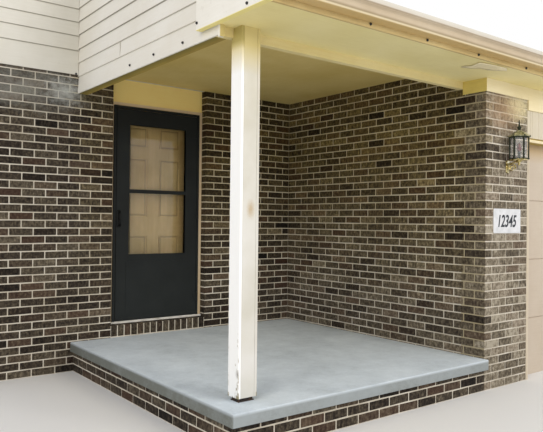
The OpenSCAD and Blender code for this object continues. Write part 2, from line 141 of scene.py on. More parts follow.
floor_paint = bpy.data.materials.new("pale_floor")
floor_paint.use_nodes = True
tree = floor_paint.node_tree
tree.nodes["Principled BSDF"].inputs["Base Color"].default_value = linear("#e9e8e4")
tree.nodes["Principled BSDF"].inputs["Roughness"].default_value = 0.9
bm = bmesh.new()
bmesh.ops.create_grid(bm, x_segments=1, y_segments=1, size=30.0)
mesh = bpy.data.meshes.new("floor")
bm.to_mesh(mesh)
bm.free()
mesh.materials.append(floor_paint)
floor = bpy.data.objects.new("floor", mesh)
bpy.context.scene.collection.objects.link(floor)
floor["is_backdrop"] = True
print("made:", world.name, "and", floor_paint.name)


# %% Lamps
def lamp(name, place, aim, size, watts, colour):
    """A square soft lamp that faces the point aim."""
    light = bpy.data.lights.new(name, "AREA")
    light.size = size
    light.energy = watts
    light.color = linear(colour)[:3]
    obj = bpy.data.objects.new(name, light)
    obj.location = place
    obj.rotation_euler = (Vector(aim) - Vector(place)).to_track_quat("-Z", "Y").to_euler()
    bpy.context.scene.collection.objects.link(obj)


lamp("left_window", (-7.7, -4.5, 5.5), (-0.2, -0.4, 1.3), 4.0, 268, "#fff9f0")
lamp("front_window", (1.3, -8.5, 5.0), (-0.2, -0.5, 1.4), 4.0, 300, "#fffaf4")
print("lamps and sky are set")

# %% [markdown]
# ## Where things are
# A few measures are read once from the solids, so that no place is typed twice. Lengths in this
# lesson are metres, and sizes that come from the trade keep the trade's numbers: three brick courses
# to 8 inches, and one brick with its joint to 8 inches.

# %% Places
wall_left, wall_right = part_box("wall_left"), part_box("wall_right")
pier, garage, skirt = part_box("garage_pier"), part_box("garage_wall"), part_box("brick_skirt")
slab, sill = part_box("porch_slab"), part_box("sill_bricks")
house_y = wall_left[0].y
door_x0, door_x1 = wall_left[1].x, wall_right[0].x
garage_x, pier_y = pier[0].x, pier[0].y
COURSE, MODULE, JOINT = 0.067733, 0.2032, 0.0105
BED = MODULE / 2 - JOINT / 2
RECESS = 0.004
print("courses up to the ceiling:", round(wall_left[1].z / COURSE, 1))


# %% Blocks and pieces
def block(bm, low, high, material=0):
    """A box between two corners, from the cube operator. Returns its vertices."""
    low, high = Vector(low), Vector(high)
    place = Matrix.Translation((low + high) / 2) @ Matrix.Diagonal((*(high - low), 1.0))
    made = bmesh.ops.create_cube(bm, size=1.0, matrix=place)["verts"]
    for face in {f for v in made for f in v.link_faces}:
        face.material_index = material
    return made


def soften(bm, verts, width, segments=2):
    """Bevels every edge between the given vertices."""
    edges = list({e for v in verts for e in v.link_edges})
    bmesh.ops.bevel(bm, geom=edges, offset=width, offset_type="OFFSET", affect="EDGES",
                    segments=segments, profile=0.5, material=-1)


def piece(name, bm, materials, replaces=(), body="porch"):
    """Turns a finished bmesh into an object at the origin that rides on a body."""
    mesh = bpy.data.meshes.new(name)
    bm.to_mesh(mesh)
    bm.free()
    for material in materials:
        mesh.materials.append(material)
    obj = bpy.data.objects.new(name, mesh)
    bpy.context.scene.collection.objects.link(obj)
    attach(obj, body)
    if replaces:
        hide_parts(*replaces)
    print(name, "faces:", len(mesh.polygons))
    return obj

# %% [markdown]
# ## Bricks
# The walls are of brown wire-cut face brick in pale mortar. A wire drags down the face of each clay
# bar before it is fired, and leaves fine upright drag marks. Firing leaves some bricks taupe, some
# brown and a few almost black, so each brick carries its own tone in an attribute on its vertices.
# The drag marks are drawn coarser than real ones, so that they show at this size.


# %% Starting and ending a material
def start_material(name, roughness=0.6, metallic=0.0):
    """A new material with its tree, its shader, and Object coordinates."""
    material = bpy.data.materials.new(name)
    material.use_nodes = True
    tree = material.node_tree
    shader = tree.nodes["Principled BSDF"]
    shader.inputs["Roughness"].default_value = roughness
    shader.inputs["Metallic"].default_value = metallic
    where = add(tree, "ShaderNodeTexCoord").outputs["Object"]
    return material, tree, shader, where


def join(tree, shader, colour, height, strength, distance):
    """Gives a shader its finished colour, and a height as its relief."""
    tree.links.new(colour, shader.inputs["Base Color"])
    bump = add(tree, "ShaderNodeBump", {"Height": height, "Strength": strength, "Distance": distance})
    tree.links.new(bump.outputs[0], shader.inputs["Normal"])


def mottled(name, stops, scale, detail=2.0, grain=0.5, stretch=None, relief=None, gloss=None, sockets=None,
            **start):
    """A finish of one noise: its colour by the stops, and where asked its relief and its roughness.

    stretch draws the noise out, relief is (strength, distance) or (strength, distance, scale of a finer
    noise), gloss gives a Map Range for the roughness, and sockets sets plain values on the shader."""
    material, tree, shader, where = start_material(name, **start)
    for key, value in (sockets or {}).items():
        shader.inputs[key].default_value = value
    if stretch:
        where = add(tree, "ShaderNodeMapping", {"Vector": where, "Scale": stretch}).outputs[0]
    noise = add(tree, "ShaderNodeTexNoise", {"Vector": where, "Scale": scale, "Detail": detail,
                                             "Roughness": grain}).outputs["Fac"]
    colour = add(tree, "ShaderNodeValToRGB", {"Fac": noise}, stops=stops)
    tree.links.new(colour.outputs[0], shader.inputs["Base Color"])
    if gloss:
        rough = add(tree, "ShaderNodeMapRange", {"Value": noise, **gloss})
        tree.links.new(rough.outputs[0], shader.inputs["Roughness"])
    if relief:
        strength, distance, *finer = relief
        if finer:
            noise = add(tree, "ShaderNodeTexNoise", {"Vector": where, "Scale": finer[0]}).outputs["Fac"]
        bump = add(tree, "ShaderNodeBump", {"Height": noise, "Strength": strength, "Distance": distance})
        tree.links.new(bump.outputs[0], shader.inputs["Normal"])
    return material


# %% Stains and smoke
def patch(tree, where, colour, tint, centre, reach, strength, solid=1.9):
    """Mixes a tint into a colour inside a ragged oval about a point: a stain, a bloom or a smear.

    A lower solid value breaks the inside of the oval into specks."""
    local = add(tree, "ShaderNodeMapping", {"Vector": where, "Location": centre, "Scale": reach},
                vector_type="TEXTURE")
    far = add(tree, "ShaderNodeVectorMath", {0: local.outputs[0]}, operation="LENGTH").outputs["Value"]
    ragged = add(tree, "ShaderNodeTexNoise", {"Vector": where, "Scale": 8.0 / max(reach), "Detail": 10.0,
                                              "Roughness": 0.85})
    edge = add(tree, "ShaderNodeMath", {0: ragged.outputs["Fac"], 1: 3.4, 2: far}, operation="MULTIPLY_ADD")
    mask = add(tree, "ShaderNodeMapRange", {"Value": edge.outputs[0], "From Min": solid,
                                            "From Max": solid + 1.0, "To Min": strength, "To Max": 0.0})
    return add(tree, "ShaderNodeMix", {0: mask.outputs[0], 6: colour, 7: linear(tint)},
               data_type="RGBA").outputs[2]


def porch_light_cast(tree, where, colour, tint):
    """Paints the yellow cast of the light inside the porch on faces that carry a value for it, most under the
    ceiling: painted light.
    """
    height = add(tree, "ShaderNodeSeparateXYZ", {"Vector": where}).outputs["Z"]
    high_up = add(tree, "ShaderNodeMapRange", {"Value": height, "From Min": 0.6, "From Max": 2.1})
    aged = add(tree, "ShaderNodeAttribute", attribute_name="aged").outputs["Fac"]
    aged = add(tree, "ShaderNodeMath", {0: high_up.outputs[0], 1: aged}, operation="MULTIPLY")
    return add(tree, "ShaderNodeMix", {0: aged.outputs[0], 6: colour, 7: linear(tint)}, data_type="RGBA",
               blend_type="MULTIPLY").outputs[2]

# %% Brick and mortar finishes
brick_clay, tree, shader, where = start_material("wire_cut_brick", roughness=0.88)
shader.inputs["Specular IOR Level"].default_value = 0.2
tone = add(tree, "ShaderNodeAttribute", attribute_name="tone").outputs["Fac"]
# Faces that look left out of the pier carry a value that lowers their tone: painted shade.
side_shade = add(tree, "ShaderNodeAttribute", attribute_name="side_shade").outputs["Fac"]
tone = add(tree, "ShaderNodeMath", {0: side_shade, 1: -0.14, 2: tone}, operation="MULTIPLY_ADD").outputs[0]
spread = add(tree, "ShaderNodeMapping", {"Vector": where, "Scale": (34.0, 34.0, 9.0)}).outputs[0]
drags = add(tree, "ShaderNodeTexNoise", {"Vector": spread, "Scale": 1.6, "Detail": 5.0, "Roughness": 0.7})
grit = add(tree, "ShaderNodeTexNoise", {"Vector": where, "Scale": 260.0, "Detail": 3.0})
clouds = add(tree, "ShaderNodeTexNoise", {"Vector": where, "Scale": 42.0, "Detail": 5.0, "Roughness": 0.7})
mixed = add(tree, "ShaderNodeMath", {0: drags.outputs["Fac"], 1: 0.9, 2: tone}, operation="MULTIPLY_ADD")
mixed = add(tree, "ShaderNodeMath", {0: clouds.outputs["Fac"], 1: 1.2, 2: mixed.outputs[0]},
            operation="MULTIPLY_ADD")
mixed = add(tree, "ShaderNodeMapRange", {"Value": mixed.outputs[0], "From Min": 1.09, "From Max": 2.01})
clay = add(tree, "ShaderNodeValToRGB", {"Fac": mixed.outputs[0]},
           stops=[(0.0, "#15120f"), (0.2, "#2b241e"), (0.42, "#463e33"), (0.62, "#635a4b"),
                  (0.8, "#817765"), (1.0, "#a89f8d")])
hue = add(tree, "ShaderNodeAttribute", attribute_name="hue").outputs["Fac"]
redness = add(tree, "ShaderNodeMapRange", {"Value": hue, "From Min": 0.65, "From Max": 1.0, "To Max": 0.24})
clay = add(tree, "ShaderNodeMix", {0: redness.outputs[0], 6: clay.outputs[0], 7: linear("#6b4a39")},
           data_type="RGBA").outputs[2]
# Two marks on the masonry: salts that bloomed grey under the siding at the corner, and a cream smear of
# old paint on the top courses of the pier. Both lie over brick and mortar alike.
MARKS = (("#b9bbb4", (-1.46, 1.36, 2.51), (0.22, 0.3, 0.16), 0.9, 1.62),
         ("#8f8f86", (-1.9, 1.36, 2.5), (0.8, 0.3, 0.24), 0.6, 1.68),
         ("#d8cca4", (1.6, -1.2, 2.39), (0.22, 0.06, 0.15), 1.0, 1.9),
         ("#b08f6c", (1.38, -1.2, 2.33), (0.26, 0.06, 0.2), 0.5, 1.9))
for mark in MARKS:
    clay = patch(tree, where, clay, *mark)
height = add(tree, "ShaderNodeMath", {0: drags.outputs["Fac"], 1: grit.outputs["Fac"]}, operation="ADD")
# Bricks inside the porch take a yellow cast of its light: painted light.
join(tree, shader, porch_light_cast(tree, where, clay, "#fdf1b0"), height.outputs[0], 0.5, 0.0015)

mortar, tree, shader, where = start_material("sanded_mortar", roughness=0.95)
shader.inputs["Specular IOR Level"].default_value = 0.2
sand = add(tree, "ShaderNodeTexNoise", {"Vector": where, "Scale": 420.0, "Detail": 2.0})
stain = add(tree, "ShaderNodeTexNoise", {"Vector": where, "Scale": 3.2, "Detail": 4.0})
both = add(tree, "ShaderNodeMath", {0: sand.outputs["Fac"], 1: 0.35, 2: stain.outputs["Fac"]},
           operation="MULTIPLY_ADD")
pale = add(tree, "ShaderNodeValToRGB", {"Fac": both.outputs[0]},
           stops=[(0.45, "#b3a995"), (0.7, "#cfc7b6"), (0.9, "#e0d9ca")]).outputs[0]
for mark in MARKS:
    pale = patch(tree, where, pale, *mark)
# The same value darkens the mortar on those faces: painted shade.
side_shade = add(tree, "ShaderNodeAttribute", attribute_name="side_shade").outputs["Fac"]
pale = add(tree, "ShaderNodeMix", {0: side_shade, 6: pale, 7: linear("#dcd6c2")}, data_type="RGBA",
           blend_type="MULTIPLY").outputs[2]
# Mortar inside the porch takes the same yellow cast: painted light.
join(tree, shader, porch_light_cast(tree, where, pale, "#f6f0d8"), sand.outputs["Fac"], 0.6, 0.001)

plaster = mottled("floated_plaster", [(0.3, "#c2bbac"), (0.7, "#d6d0c2")], 5.0, 5.0, roughness=0.92,
                  relief=(0.3, 0.001, 180.0))
print("finishes of the walls:", brick_clay.name, mortar.name, plaster.name)


# %% A brick, and courses of them
def cuts(start, end, joint, module=MODULE, least=0.035):
    """Where the joints of one course fall between two ends, for a joint at the given place."""
    first = joint + math.ceil((start + least - joint) / module) * module
    inner = [first + i * module for i in range(int(max(0, (end - least - first)) / module) + 1)]
    return [start] + [x for x in inner if start + least <= x <= end - least] + [end]


class Bricklayer:
    """Lays copies of one bevelled brick in a bmesh, each with its own tone, hue and slight tilt."""

    def __init__(self, seed, shade=0.0, age=0.0, left_shade=0.0):
        self.bm = bmesh.new()
        self.shade, self.age, self.left_shade = shade, age, left_shade
        self.tone = self.bm.verts.layers.float.new("tone")
        self.hue = self.bm.verts.layers.float.new("hue")
        self.aged = self.bm.faces.layers.float.new("aged")
        self.side_shade = self.bm.faces.layers.float.new("side_shade")
        self.random = random.Random(seed)
        self.size = Vector((MODULE - JOINT, BED, COURSE - JOINT))
        verts = block(self.bm, -self.size / 2, self.size / 2)
        soften(self.bm, verts, 0.003, segments=1)
        self.stock = self.bm.verts[:] + self.bm.edges[:] + self.bm.faces[:]

    def lay(self, low, high):
        """One brick that fills the box from low to high."""
        low, high = Vector(low), Vector(high)
        middle, size = (low + high) / 2, high - low
        copy = bmesh.ops.duplicate(self.bm, geom=self.stock)["geom"]
        tone = self.shade + self.random.gauss(0.4, 0.085)
        if self.random.random() < 0.06:
            tone -= 0.2
        hue = self.random.random()
        # Only the first draw tilts the brick. The two others stay, so that every later brick keeps its tone.
        sink = [self.random.uniform(-0.0012, 0.0012) for _ in range(3)]
        for vert in (v for v in copy if isinstance(v, bmesh.types.BMVert)):
            for axis in range(3):
                grow = (size[axis] - self.size[axis]) / 2
                vert.co[axis] += grow if vert.co[axis] > 0 else -grow
            vert.co += middle
            vert.co.z += sink[0] * (1 if vert.co.x + vert.co.y > middle.x + middle.y else -1)
            vert[self.tone] = tone
            vert[self.hue] = hue
        self.mark([f for f in copy if isinstance(f, bmesh.types.BMFace)], low.x)

    def mark(self, faces, left):
        """Writes on faces how much painted yellow light they get, and on those that look left how much
        painted shade.
        """
        for face in faces:
            face[self.aged] = self.age
            face[self.side_shade] = self.left_shade if all(v.co.x < left + 0.0035 for v in face.verts) else 0.0

    def back(self, low, high):
        """The bed of mortar behind the bricks, as one block."""
        self.mark({f for v in block(self.bm, low, high, 1) for f in v.link_faces}, low[0])

    def finish(self):
        """Takes away the stock brick and gives the bmesh."""
        bmesh.ops.delete(self.bm, geom=[g for g in self.stock if isinstance(g, bmesh.types.BMVert)],
                         context="VERTS")
        return self.bm


def course_heights(top):
    """Lowest and highest z of each course up to a height, with its number."""
    for number in range(int(top / COURSE) + 1):
        low = number * COURSE + JOINT / 2
        high = min((number + 1) * COURSE - JOINT / 2, top)
        if high - low > 0.02:
            yield number, max(low, 0.0), high


def spans(start, end, joint, module=MODULE):
    """The two ends of each brick in one course."""
    marks = cuts(start, end, joint, module)
    for i in range(len(marks) - 1):
        yield (marks[i] + (JOINT / 2 if i else 0.0),
               marks[i + 1] - (JOINT / 2 if i < len(marks) - 2 else 0.0))


print("courses in the garage wall:", len(list(course_heights(garage[1].z))))

# %% House wall on both sides of the doorway
# The joints were read from the photo: at the left of the door the odd courses end in a whole brick, at its
# right the even ones do. Bricks inside the porch get the yellow cast of its light as painted light, and those
# outside it don't.
# The faces at the back of the wall are plastered.
for name, box, ends, joints, seed in (
        ("wall_left", wall_left, (wall_left[0].x, door_x0), (door_x0 - 0.1096, door_x0 - 0.008), 11),
        ("wall_right", wall_right, (door_x1, garage_x), (door_x1, door_x1 + MODULE / 2), 12)):
    outside, inside = 0.0, 0.5 if name == "wall_left" else 1.0
    layer = Bricklayer(seed, shade=0.0 if name == "wall_left" else -0.02)
    for number, low, high in course_heights(box[1].z):
        for a, b in spans(*ends, joints[number % 2]):
            layer.age = outside if a < slab[0].x else inside
            layer.lay((a, house_y, low), (b, house_y + BED, high))
    if name == "wall_left":
        layer.age = outside
        layer.back((box[0].x, house_y + RECESS, 0), (slab[0].x, box[1].y, box[1].z))
        layer.age = inside
        layer.back((slab[0].x, house_y + RECESS, 0), (door_x0 - RECESS, box[1].y, box[1].z))
    else:
        layer.back((door_x1 + RECESS, house_y + RECESS, 0), (box[1].x, box[1].y, box[1].z))
    bm = layer.finish()
    for face in bm.faces:
        if all(v.co.y > box[1].y - 1e-4 for v in face.verts):
            face.material_index = 2
    piece(name + "_bricks", bm, [brick_clay, mortar, plaster], [name])

# %% Garage wall and the pier at its end
# One bond runs through both. Every second course turns the corner of the pier with its long side, so
# the other courses skip the brick that would stand in its place. The pier's front is the palest.
HALF, NEAR = MODULE / 2, 0.01
for name, box, seed, front_shade in (("garage_wall", garage, 13, 0.14), ("garage_pier", pier, 14, 0.33)):
    is_pier = name == "garage_pier"
    layer = Bricklayer(seed, front_shade, age=1.0)
    for number, low, high in course_heights(box[1].z):
        odd = number % 2
        for a, b in spans(pier_y, house_y, pier_y + (HALF if odd else 0.0)):
            at_corner = a < pier_y + NEAR
            if odd and at_corner:
                continue
            if ((a + b) / 2 < pier[1].y) == is_pier:
                # At the corner, the brick faces that look left into the porch are darkened: painted shade.
                layer.shade = front_shade if at_corner else 0.13
                layer.age = 0.2 if at_corner else 0.5 if is_pier else 1.0
                layer.left_shade = 1.0 if at_corner else 0.0
                layer.lay((garage_x, a, low), (garage_x + BED, b, high))
        if is_pier:
            layer.shade, layer.age, layer.left_shade = front_shade, 0.0, 1.0
            for a, b in spans(garage_x, pier[1].x, garage_x + (0.0 if odd else HALF)):
                if odd or a > garage_x + NEAR:
                    layer.lay((a, pier_y, low), (b, pier_y + BED, high))
    layer.back((garage_x + RECESS, pier_y + RECESS if is_pier else garage[0].y, 0), box[1])
    piece(name + "_bricks", layer.finish(), [brick_clay, mortar], [name])

# %% Brick skirt under the floor
layer = Bricklayer(15)
bays = round((garage_x - skirt[0].x) / MODULE)
front_module = (garage_x - skirt[0].x) / bays
for number, low, high in course_heights(skirt[1].z):
    odd = number % 2
    for a, b in spans(skirt[0].x, garage_x, skirt[0].x + (front_module / 2 if odd else 0.0), front_module):
        if not odd or a > skirt[0].x + NEAR:
            layer.lay((a, pier_y, low), (b, pier_y + BED, high))
    for a, b in spans(pier_y, house_y, pier_y + (0.0 if odd else HALF)):
        if odd or a > pier_y + NEAR:
            layer.lay((skirt[0].x, a, low), (skirt[0].x + BED, b, high))
SKIRT_T = 0.2
inner_x, inner_y = skirt[0].x + SKIRT_T, pier_y + SKIRT_T
layer.back((skirt[0].x + RECESS, pier_y + RECESS, 0), (garage_x, inner_y, skirt[1].z))
layer.back((skirt[0].x + RECESS, inner_y, 0), (inner_x, house_y, skirt[1].z))
piece("brick_skirt_bricks", layer.finish(), [brick_clay, mortar], ["brick_skirt"])

# %% Bricks on edge under the door
layer = Bricklayer(16)
ON_EDGE = 15
step = (door_x1 - door_x0) / ON_EDGE
for i in range(ON_EDGE):
    x0 = door_x0 + i * step + JOINT / 2
    layer.lay((x0, sill[0].y, sill[0].z + 0.01), (x0 + step - JOINT, sill[1].y, sill[1].z - 0.002))
layer.back((door_x0, sill[0].y + RECESS, sill[0].z), (door_x1, sill[1].y, sill[1].z - 0.006))
piece("sill_bricks_on_edge", layer.finish(), [brick_clay, mortar], ["sill_bricks"])

# %% [markdown]
# ## Painted wood
# Soffit, ceiling, beam and boards are wood and hardboard under brushed oil paint. Such paint is never quite
# one colour: it yellows in patches, shows faint brush marks, and holds specks of dirt. One function mixes
# those into a paint of a given colour, because the porch has several of them, and it can also paint shade:
# darker bands in creases, and a fade towards a sheltered face.

# %% Brushed paint
ACROSS, UPWARD, INWARD = (3.0, 40.0, 40.0), (40.0, 40.0, 3.0), (40.0, 3.0, 40.0)


def brushed_paint(name, pale, dull, roughness=0.55, along=ACROSS, dirt=0.0, crease_shade=0.0, painted_shadow="#5a5238",
                  fade=None):
    """Brushed house paint: two close colours in patches, brush marks along one axis, dirt, and painted shade
    where a vertex value asks for it.

    fade paints shade into the paint between two places: (axis, lit place, shaded place, colour, strength)."""
    material, tree, shader, where = start_material(name, roughness)
    patches = add(tree, "ShaderNodeTexNoise", {"Vector": where, "Scale": 1.7, "Detail": 6.0,
                                               "Roughness": 0.6})
    strokes = add(tree, "ShaderNodeMapping", {"Vector": where, "Scale": along})
    strokes = add(tree, "ShaderNodeTexNoise", {"Vector": strokes.outputs[0], "Scale": 2.0, "Detail": 3.0})
    both = add(tree, "ShaderNodeMath", {0: strokes.outputs["Fac"], 1: 0.3, 2: patches.outputs["Fac"]},
               operation="MULTIPLY_ADD")
    colour = add(tree, "ShaderNodeValToRGB", {"Fac": both.outputs[0]},
                 stops=[(0.45, dull), (0.85, pale)]).outputs[0]
    if dirt:
        specks = add(tree, "ShaderNodeTexNoise", {"Vector": where, "Scale": 14.0, "Detail": 8.0,
                                                  "Roughness": 0.75})
        specks = add(tree, "ShaderNodeMapRange", {"Value": specks.outputs["Fac"], "From Min": 0.6,
                                                  "From Max": 0.8, "To Max": dirt})
        colour = add(tree, "ShaderNodeMix", {0: specks.outputs[0], 6: colour, 7: linear("#8d8168")},
                     data_type="RGBA").outputs[2]
    if crease_shade:
        crease_mask = add(tree, "ShaderNodeAttribute", attribute_name="crease_shade").outputs["Fac"]
        crease_mask = add(tree, "ShaderNodeMath", {0: crease_mask, 1: crease_shade}, operation="MULTIPLY").outputs[0]
        colour = add(tree, "ShaderNodeMix", {0: crease_mask, 6: colour, 7: linear(painted_shadow)},
                     data_type="RGBA").outputs[2]
    if fade:
        axis, lit_place, shaded_place, tint, strength = fade
        far = add(tree, "ShaderNodeSeparateXYZ", {"Vector": where}).outputs[axis]
        far = add(tree, "ShaderNodeMapRange", {"Value": far, "From Min": lit_place, "From Max": shaded_place,
                                               "To Max": strength})
        colour = add(tree, "ShaderNodeMix", {0: far.outputs[0], 6: colour, 7: linear(tint)},
                     data_type="RGBA").outputs[2]
    join(tree, shader, colour, strokes.outputs["Fac"], 0.25, 0.0008)
    return material

# %% The paints of the porch
cream_wood = brushed_paint("cream_oil_paint", "#f3e4ae", "#e6d494", dirt=0.25)
frieze_wood = brushed_paint("pale_cream_paint", "#faeec8", "#efe0b2", dirt=0.2)
soffit_board = brushed_paint("cream_soffit_paint", "#f6e9ae", "#eadb98", dirt=0.2)
ceiling_board = brushed_paint("cream_ceiling_paint", "#e0ca84", "#d2b86a", along=INWARD, dirt=0.15)
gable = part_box("gable_wall")
# The gable wall looks down into shade and is painted olive, darker still towards its left face: painted
# shade.
shaded_olive_wood = brushed_paint("shaded_olive_cream_paint", "#bca453", "#a58c41", along=INWARD, dirt=0.3,
                           fade=("X", gable[0].x + 0.07, gable[0].x, "#6f6a2c", 0.8))
# The head panel has the same cream paint as the rest, drawn ochre as painted shade.
shaded_head_paint = brushed_paint("shaded_ochre_cream_paint", "#ffe894", "#fbde88")
siding_paint = brushed_paint("cream_siding_paint", "#d9d6cb", "#cdc9bb", dirt=0.15, crease_shade=0.5)
side_paint = brushed_paint("cream_side_paint", "#e9e6dc", "#e0dbcd", along=INWARD, dirt=0.15, crease_shade=0.55)
# The trim is white. Its sheltered sides, which look down or to the street, are painted cream as painted
# shade, so each of these paints fades to cream at that face.
white_board = brushed_paint("white_trim_paint", "#f3f0e6", "#e9e5d8", along=INWARD, dirt=0.3)
corner_y, eave_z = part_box("corner_trim")[0].y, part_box("eave_end")[0].z
corner_paint = brushed_paint("white_corner_paint", "#f3f0e6", "#e9e5d8", along=UPWARD, dirt=0.3,
                             fade=("Y", corner_y + 0.01, corner_y + 0.002, "#cdb760", 0.85))
eave_paint = brushed_paint("white_eave_paint", "#f3f0e6", "#e9e5d8", along=INWARD, dirt=0.3,
                           fade=("Z", eave_z + 0.006, eave_z + 0.001, "#f2e38a", 0.9))
casing_paint = brushed_paint("tan_casing_paint", "#ecd6b2", "#dfc69e", along=UPWARD)
header_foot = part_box("garage_header")[0].z
# Just under the garage header the trim and the door are painted darker and tan: painted shade.
UNDER_HEADER_SHADE = ("Z", header_foot - 0.17, header_foot - 0.05, "#b8954c", 0.55)
garage_paint = brushed_paint("peach_trim_paint", "#d6cab4", "#ccbea4", along=UPWARD, fade=UNDER_HEADER_SHADE)
print("materials so far:", len(bpy.data.materials))


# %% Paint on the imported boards
def paint(material, *names):
    """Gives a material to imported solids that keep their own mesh."""
    for name in names:
        nodes[name].data.materials.clear()
        nodes[name].data.materials.append(material)


for material, names in ((cream_wood, ["front_beam"]), (ceiling_board, ["porch_ceiling"]),
                        (soffit_board, ["eave_soffit"]), (shaded_olive_wood, ["gable_wall"]),
                        (corner_paint, ["corner_trim"]), (eave_paint, ["eave_end"]),
                        (white_board, ["rake_board"]), (shaded_head_paint, ["head_panel"]),
                        (casing_paint, ["door_casing", "door_frame"]),
                        (plaster, ["wall_over_door", "upper_wall", "party_wall"])):
    paint(material, *names)
    print(material.name, "on", *names)

# %% Frieze boards on the pier
def bevelled(bm, low, high, width, segments=2, place=None, material=0):
    """A block with bevelled edges, moved to a place where one is given."""
    before = set(bm.verts) if place else set()
    soften(bm, block(bm, low, high, material), width, segments)
    if place:
        bmesh.ops.transform(bm, matrix=place, verts=[v for v in bm.verts if v not in before])


# Two boards meet at the corner of the pier. The one that faces the street is pale, and the side that faces
# the porch is painted yellow as painted shade.
shaded_wood = brushed_paint("shaded_yellow_paint", "#e5d076", "#cfb860", along=INWARD, dirt=0.2)
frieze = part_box("pier_frieze")
FRIEZE_T = garage_x - frieze[0].x
bm = bmesh.new()
street_back = frieze[0].y + FRIEZE_T
bevelled(bm, frieze[0], (frieze[1].x, street_back, frieze[1].z), 0.0015)
bevelled(bm, (frieze[0].x, street_back + 0.0005, frieze[0].z), (garage_x, frieze[1].y, frieze[1].z), 0.0015,
         material=1)
for face in bm.faces:
    if face.normal.x < -0.5:
        face.material_index = 1
piece("pier_frieze_boards", bm, [frieze_wood, shaded_wood], ["pier_frieze"])

# %% Loose paint under the soffit
# One old coat has let go near the pier: a thin sheet that hangs a few millimetres at its free edge.
FREE_EDGE = [(0.6356, -1.3084), (0.6746, -1.3693), (0.6312, -1.4732), (0.6983, -1.4873), (0.7943, -1.4976),
             (0.9462, -1.4963)]
FAST_EDGE = [(0.6773, -1.2784), (0.7621, -1.3083), (0.8121, -1.3504), (0.8946, -1.3568), (0.9599, -1.3905),
             (1.0407, -1.4372)]
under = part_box("eave_soffit")[0].z
bm = bmesh.new()
strips = []
for i, ((ax, ay), (bx, by)) in enumerate(zip(FREE_EDGE, FAST_EDGE)):
    sag = 0.004 * math.sin(math.pi * (i + 0.5) / len(FREE_EDGE)) + 0.002
    strips.append([bm.verts.new((ax + (bx - ax) * t, ay + (by - ay) * t, under - 0.0009 - sag * (1 - t) ** 2))
                   for t in (0.0, 0.25, 0.5, 0.75, 1.0)])
for first, second in zip(strips, strips[1:]):
    for a, b, c, d in zip(first, second, second[1:], first[1:]):
        bm.faces.new((a, b, c, d)).smooth = True
bmesh.ops.recalc_face_normals(bm, faces=bm.faces[:])
bmesh.ops.solidify(bm, geom=bm.faces[:], thickness=0.0006)
bmesh.ops.recalc_face_normals(bm, faces=bm.faces[:])
piece("soffit_loose_paint", bm, [frieze_wood])

# %% [markdown]
# ## Lap siding
# Each siding board leans on the one below it, so its foot stands out by its thickness and throws the thin
# dark line that shows in the photo. A board is a wedge: the cube operator makes a box, and its upper front
# edge is pushed back. The heights of the laps were measured on the photo. That dark line is also painted: a
# narrow band of every board at each lap carries a value on its vertices that darkens it as painted shade.

# %% Siding on the house wall
old_siding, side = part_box("wall_siding"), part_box("side_siding")
shingle_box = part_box("roof_shingles")
LAP = 0.122
HOUSE_LAPS = [old_siding[0].z, 2.886, 3.019, 3.144, 3.264]
while HOUSE_LAPS[-1] + LAP < old_siding[1].z:
    HOUSE_LAPS.append(HOUSE_LAPS[-1] + LAP)
HOUSE_LAPS.append(old_siding[1].z)


def lap_board(bm, start, end, low, high, outer, inner, along_y=False, foot=1.0, head=1.0):
    """One wedge-shaped board between two heights, its foot at outer and its back at inner.

    foot and head say how much painted shade its two edges get."""
    if along_y:
        verts = block(bm, (min(outer, inner), start, low), (max(outer, inner), end, high))
    else:
        verts = block(bm, (start, min(outer, inner), low), (end, max(outer, inner), high))
    axis = 0 if along_y else 1
    lean = (inner - outer) * 0.8
    for vert in verts:
        if vert.co.z > high - 1e-5 and abs(vert.co[axis] - outer) < 1e-5:
            vert.co[axis] += lean
    crease_shade = bm.verts.layers.float["crease_shade"]
    parts = set(verts)
    for cut in (low + 0.0025, high - 0.009):
        near = {e for v in parts for e in v.link_edges} | {f for v in parts for f in v.link_faces}
        made = bmesh.ops.bisect_plane(bm, geom=list(parts | near), dist=1e-7, plane_co=(0, 0, cut),
                                      plane_no=(0, 0, 1))["geom_cut"]
        parts |= {v for v in made if isinstance(v, bmesh.types.BMVert)}
    for vert in parts:
        vert[crease_shade] = head if vert.co.z > high - 1e-5 else foot if vert.co.z < low + 1e-5 else 0.0


bm = bmesh.new()
bm.verts.layers.float.new("crease_shade")
flash_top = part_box("roof_flashing")[1].z
roof_left = shingle_box[0].x
UNDER_RAKE = 3.52       # up to here the boards reach the side wall; above, the roof's edge stops them
for low, high in zip(HOUSE_LAPS, HOUSE_LAPS[1:]):
    left_end = side[0].x if high < UNDER_RAKE else roof_left
    lap_board(bm, old_siding[0].x, left_end, low, high, old_siding[0].y, old_siding[1].y)
    if high > flash_top + 0.01:
        lap_board(bm, roof_left, old_siding[1].x, max(low, flash_top), high, old_siding[0].y, old_siding[1].y)
piece("wall_siding_boards", bm, [siding_paint], ["wall_siding"])

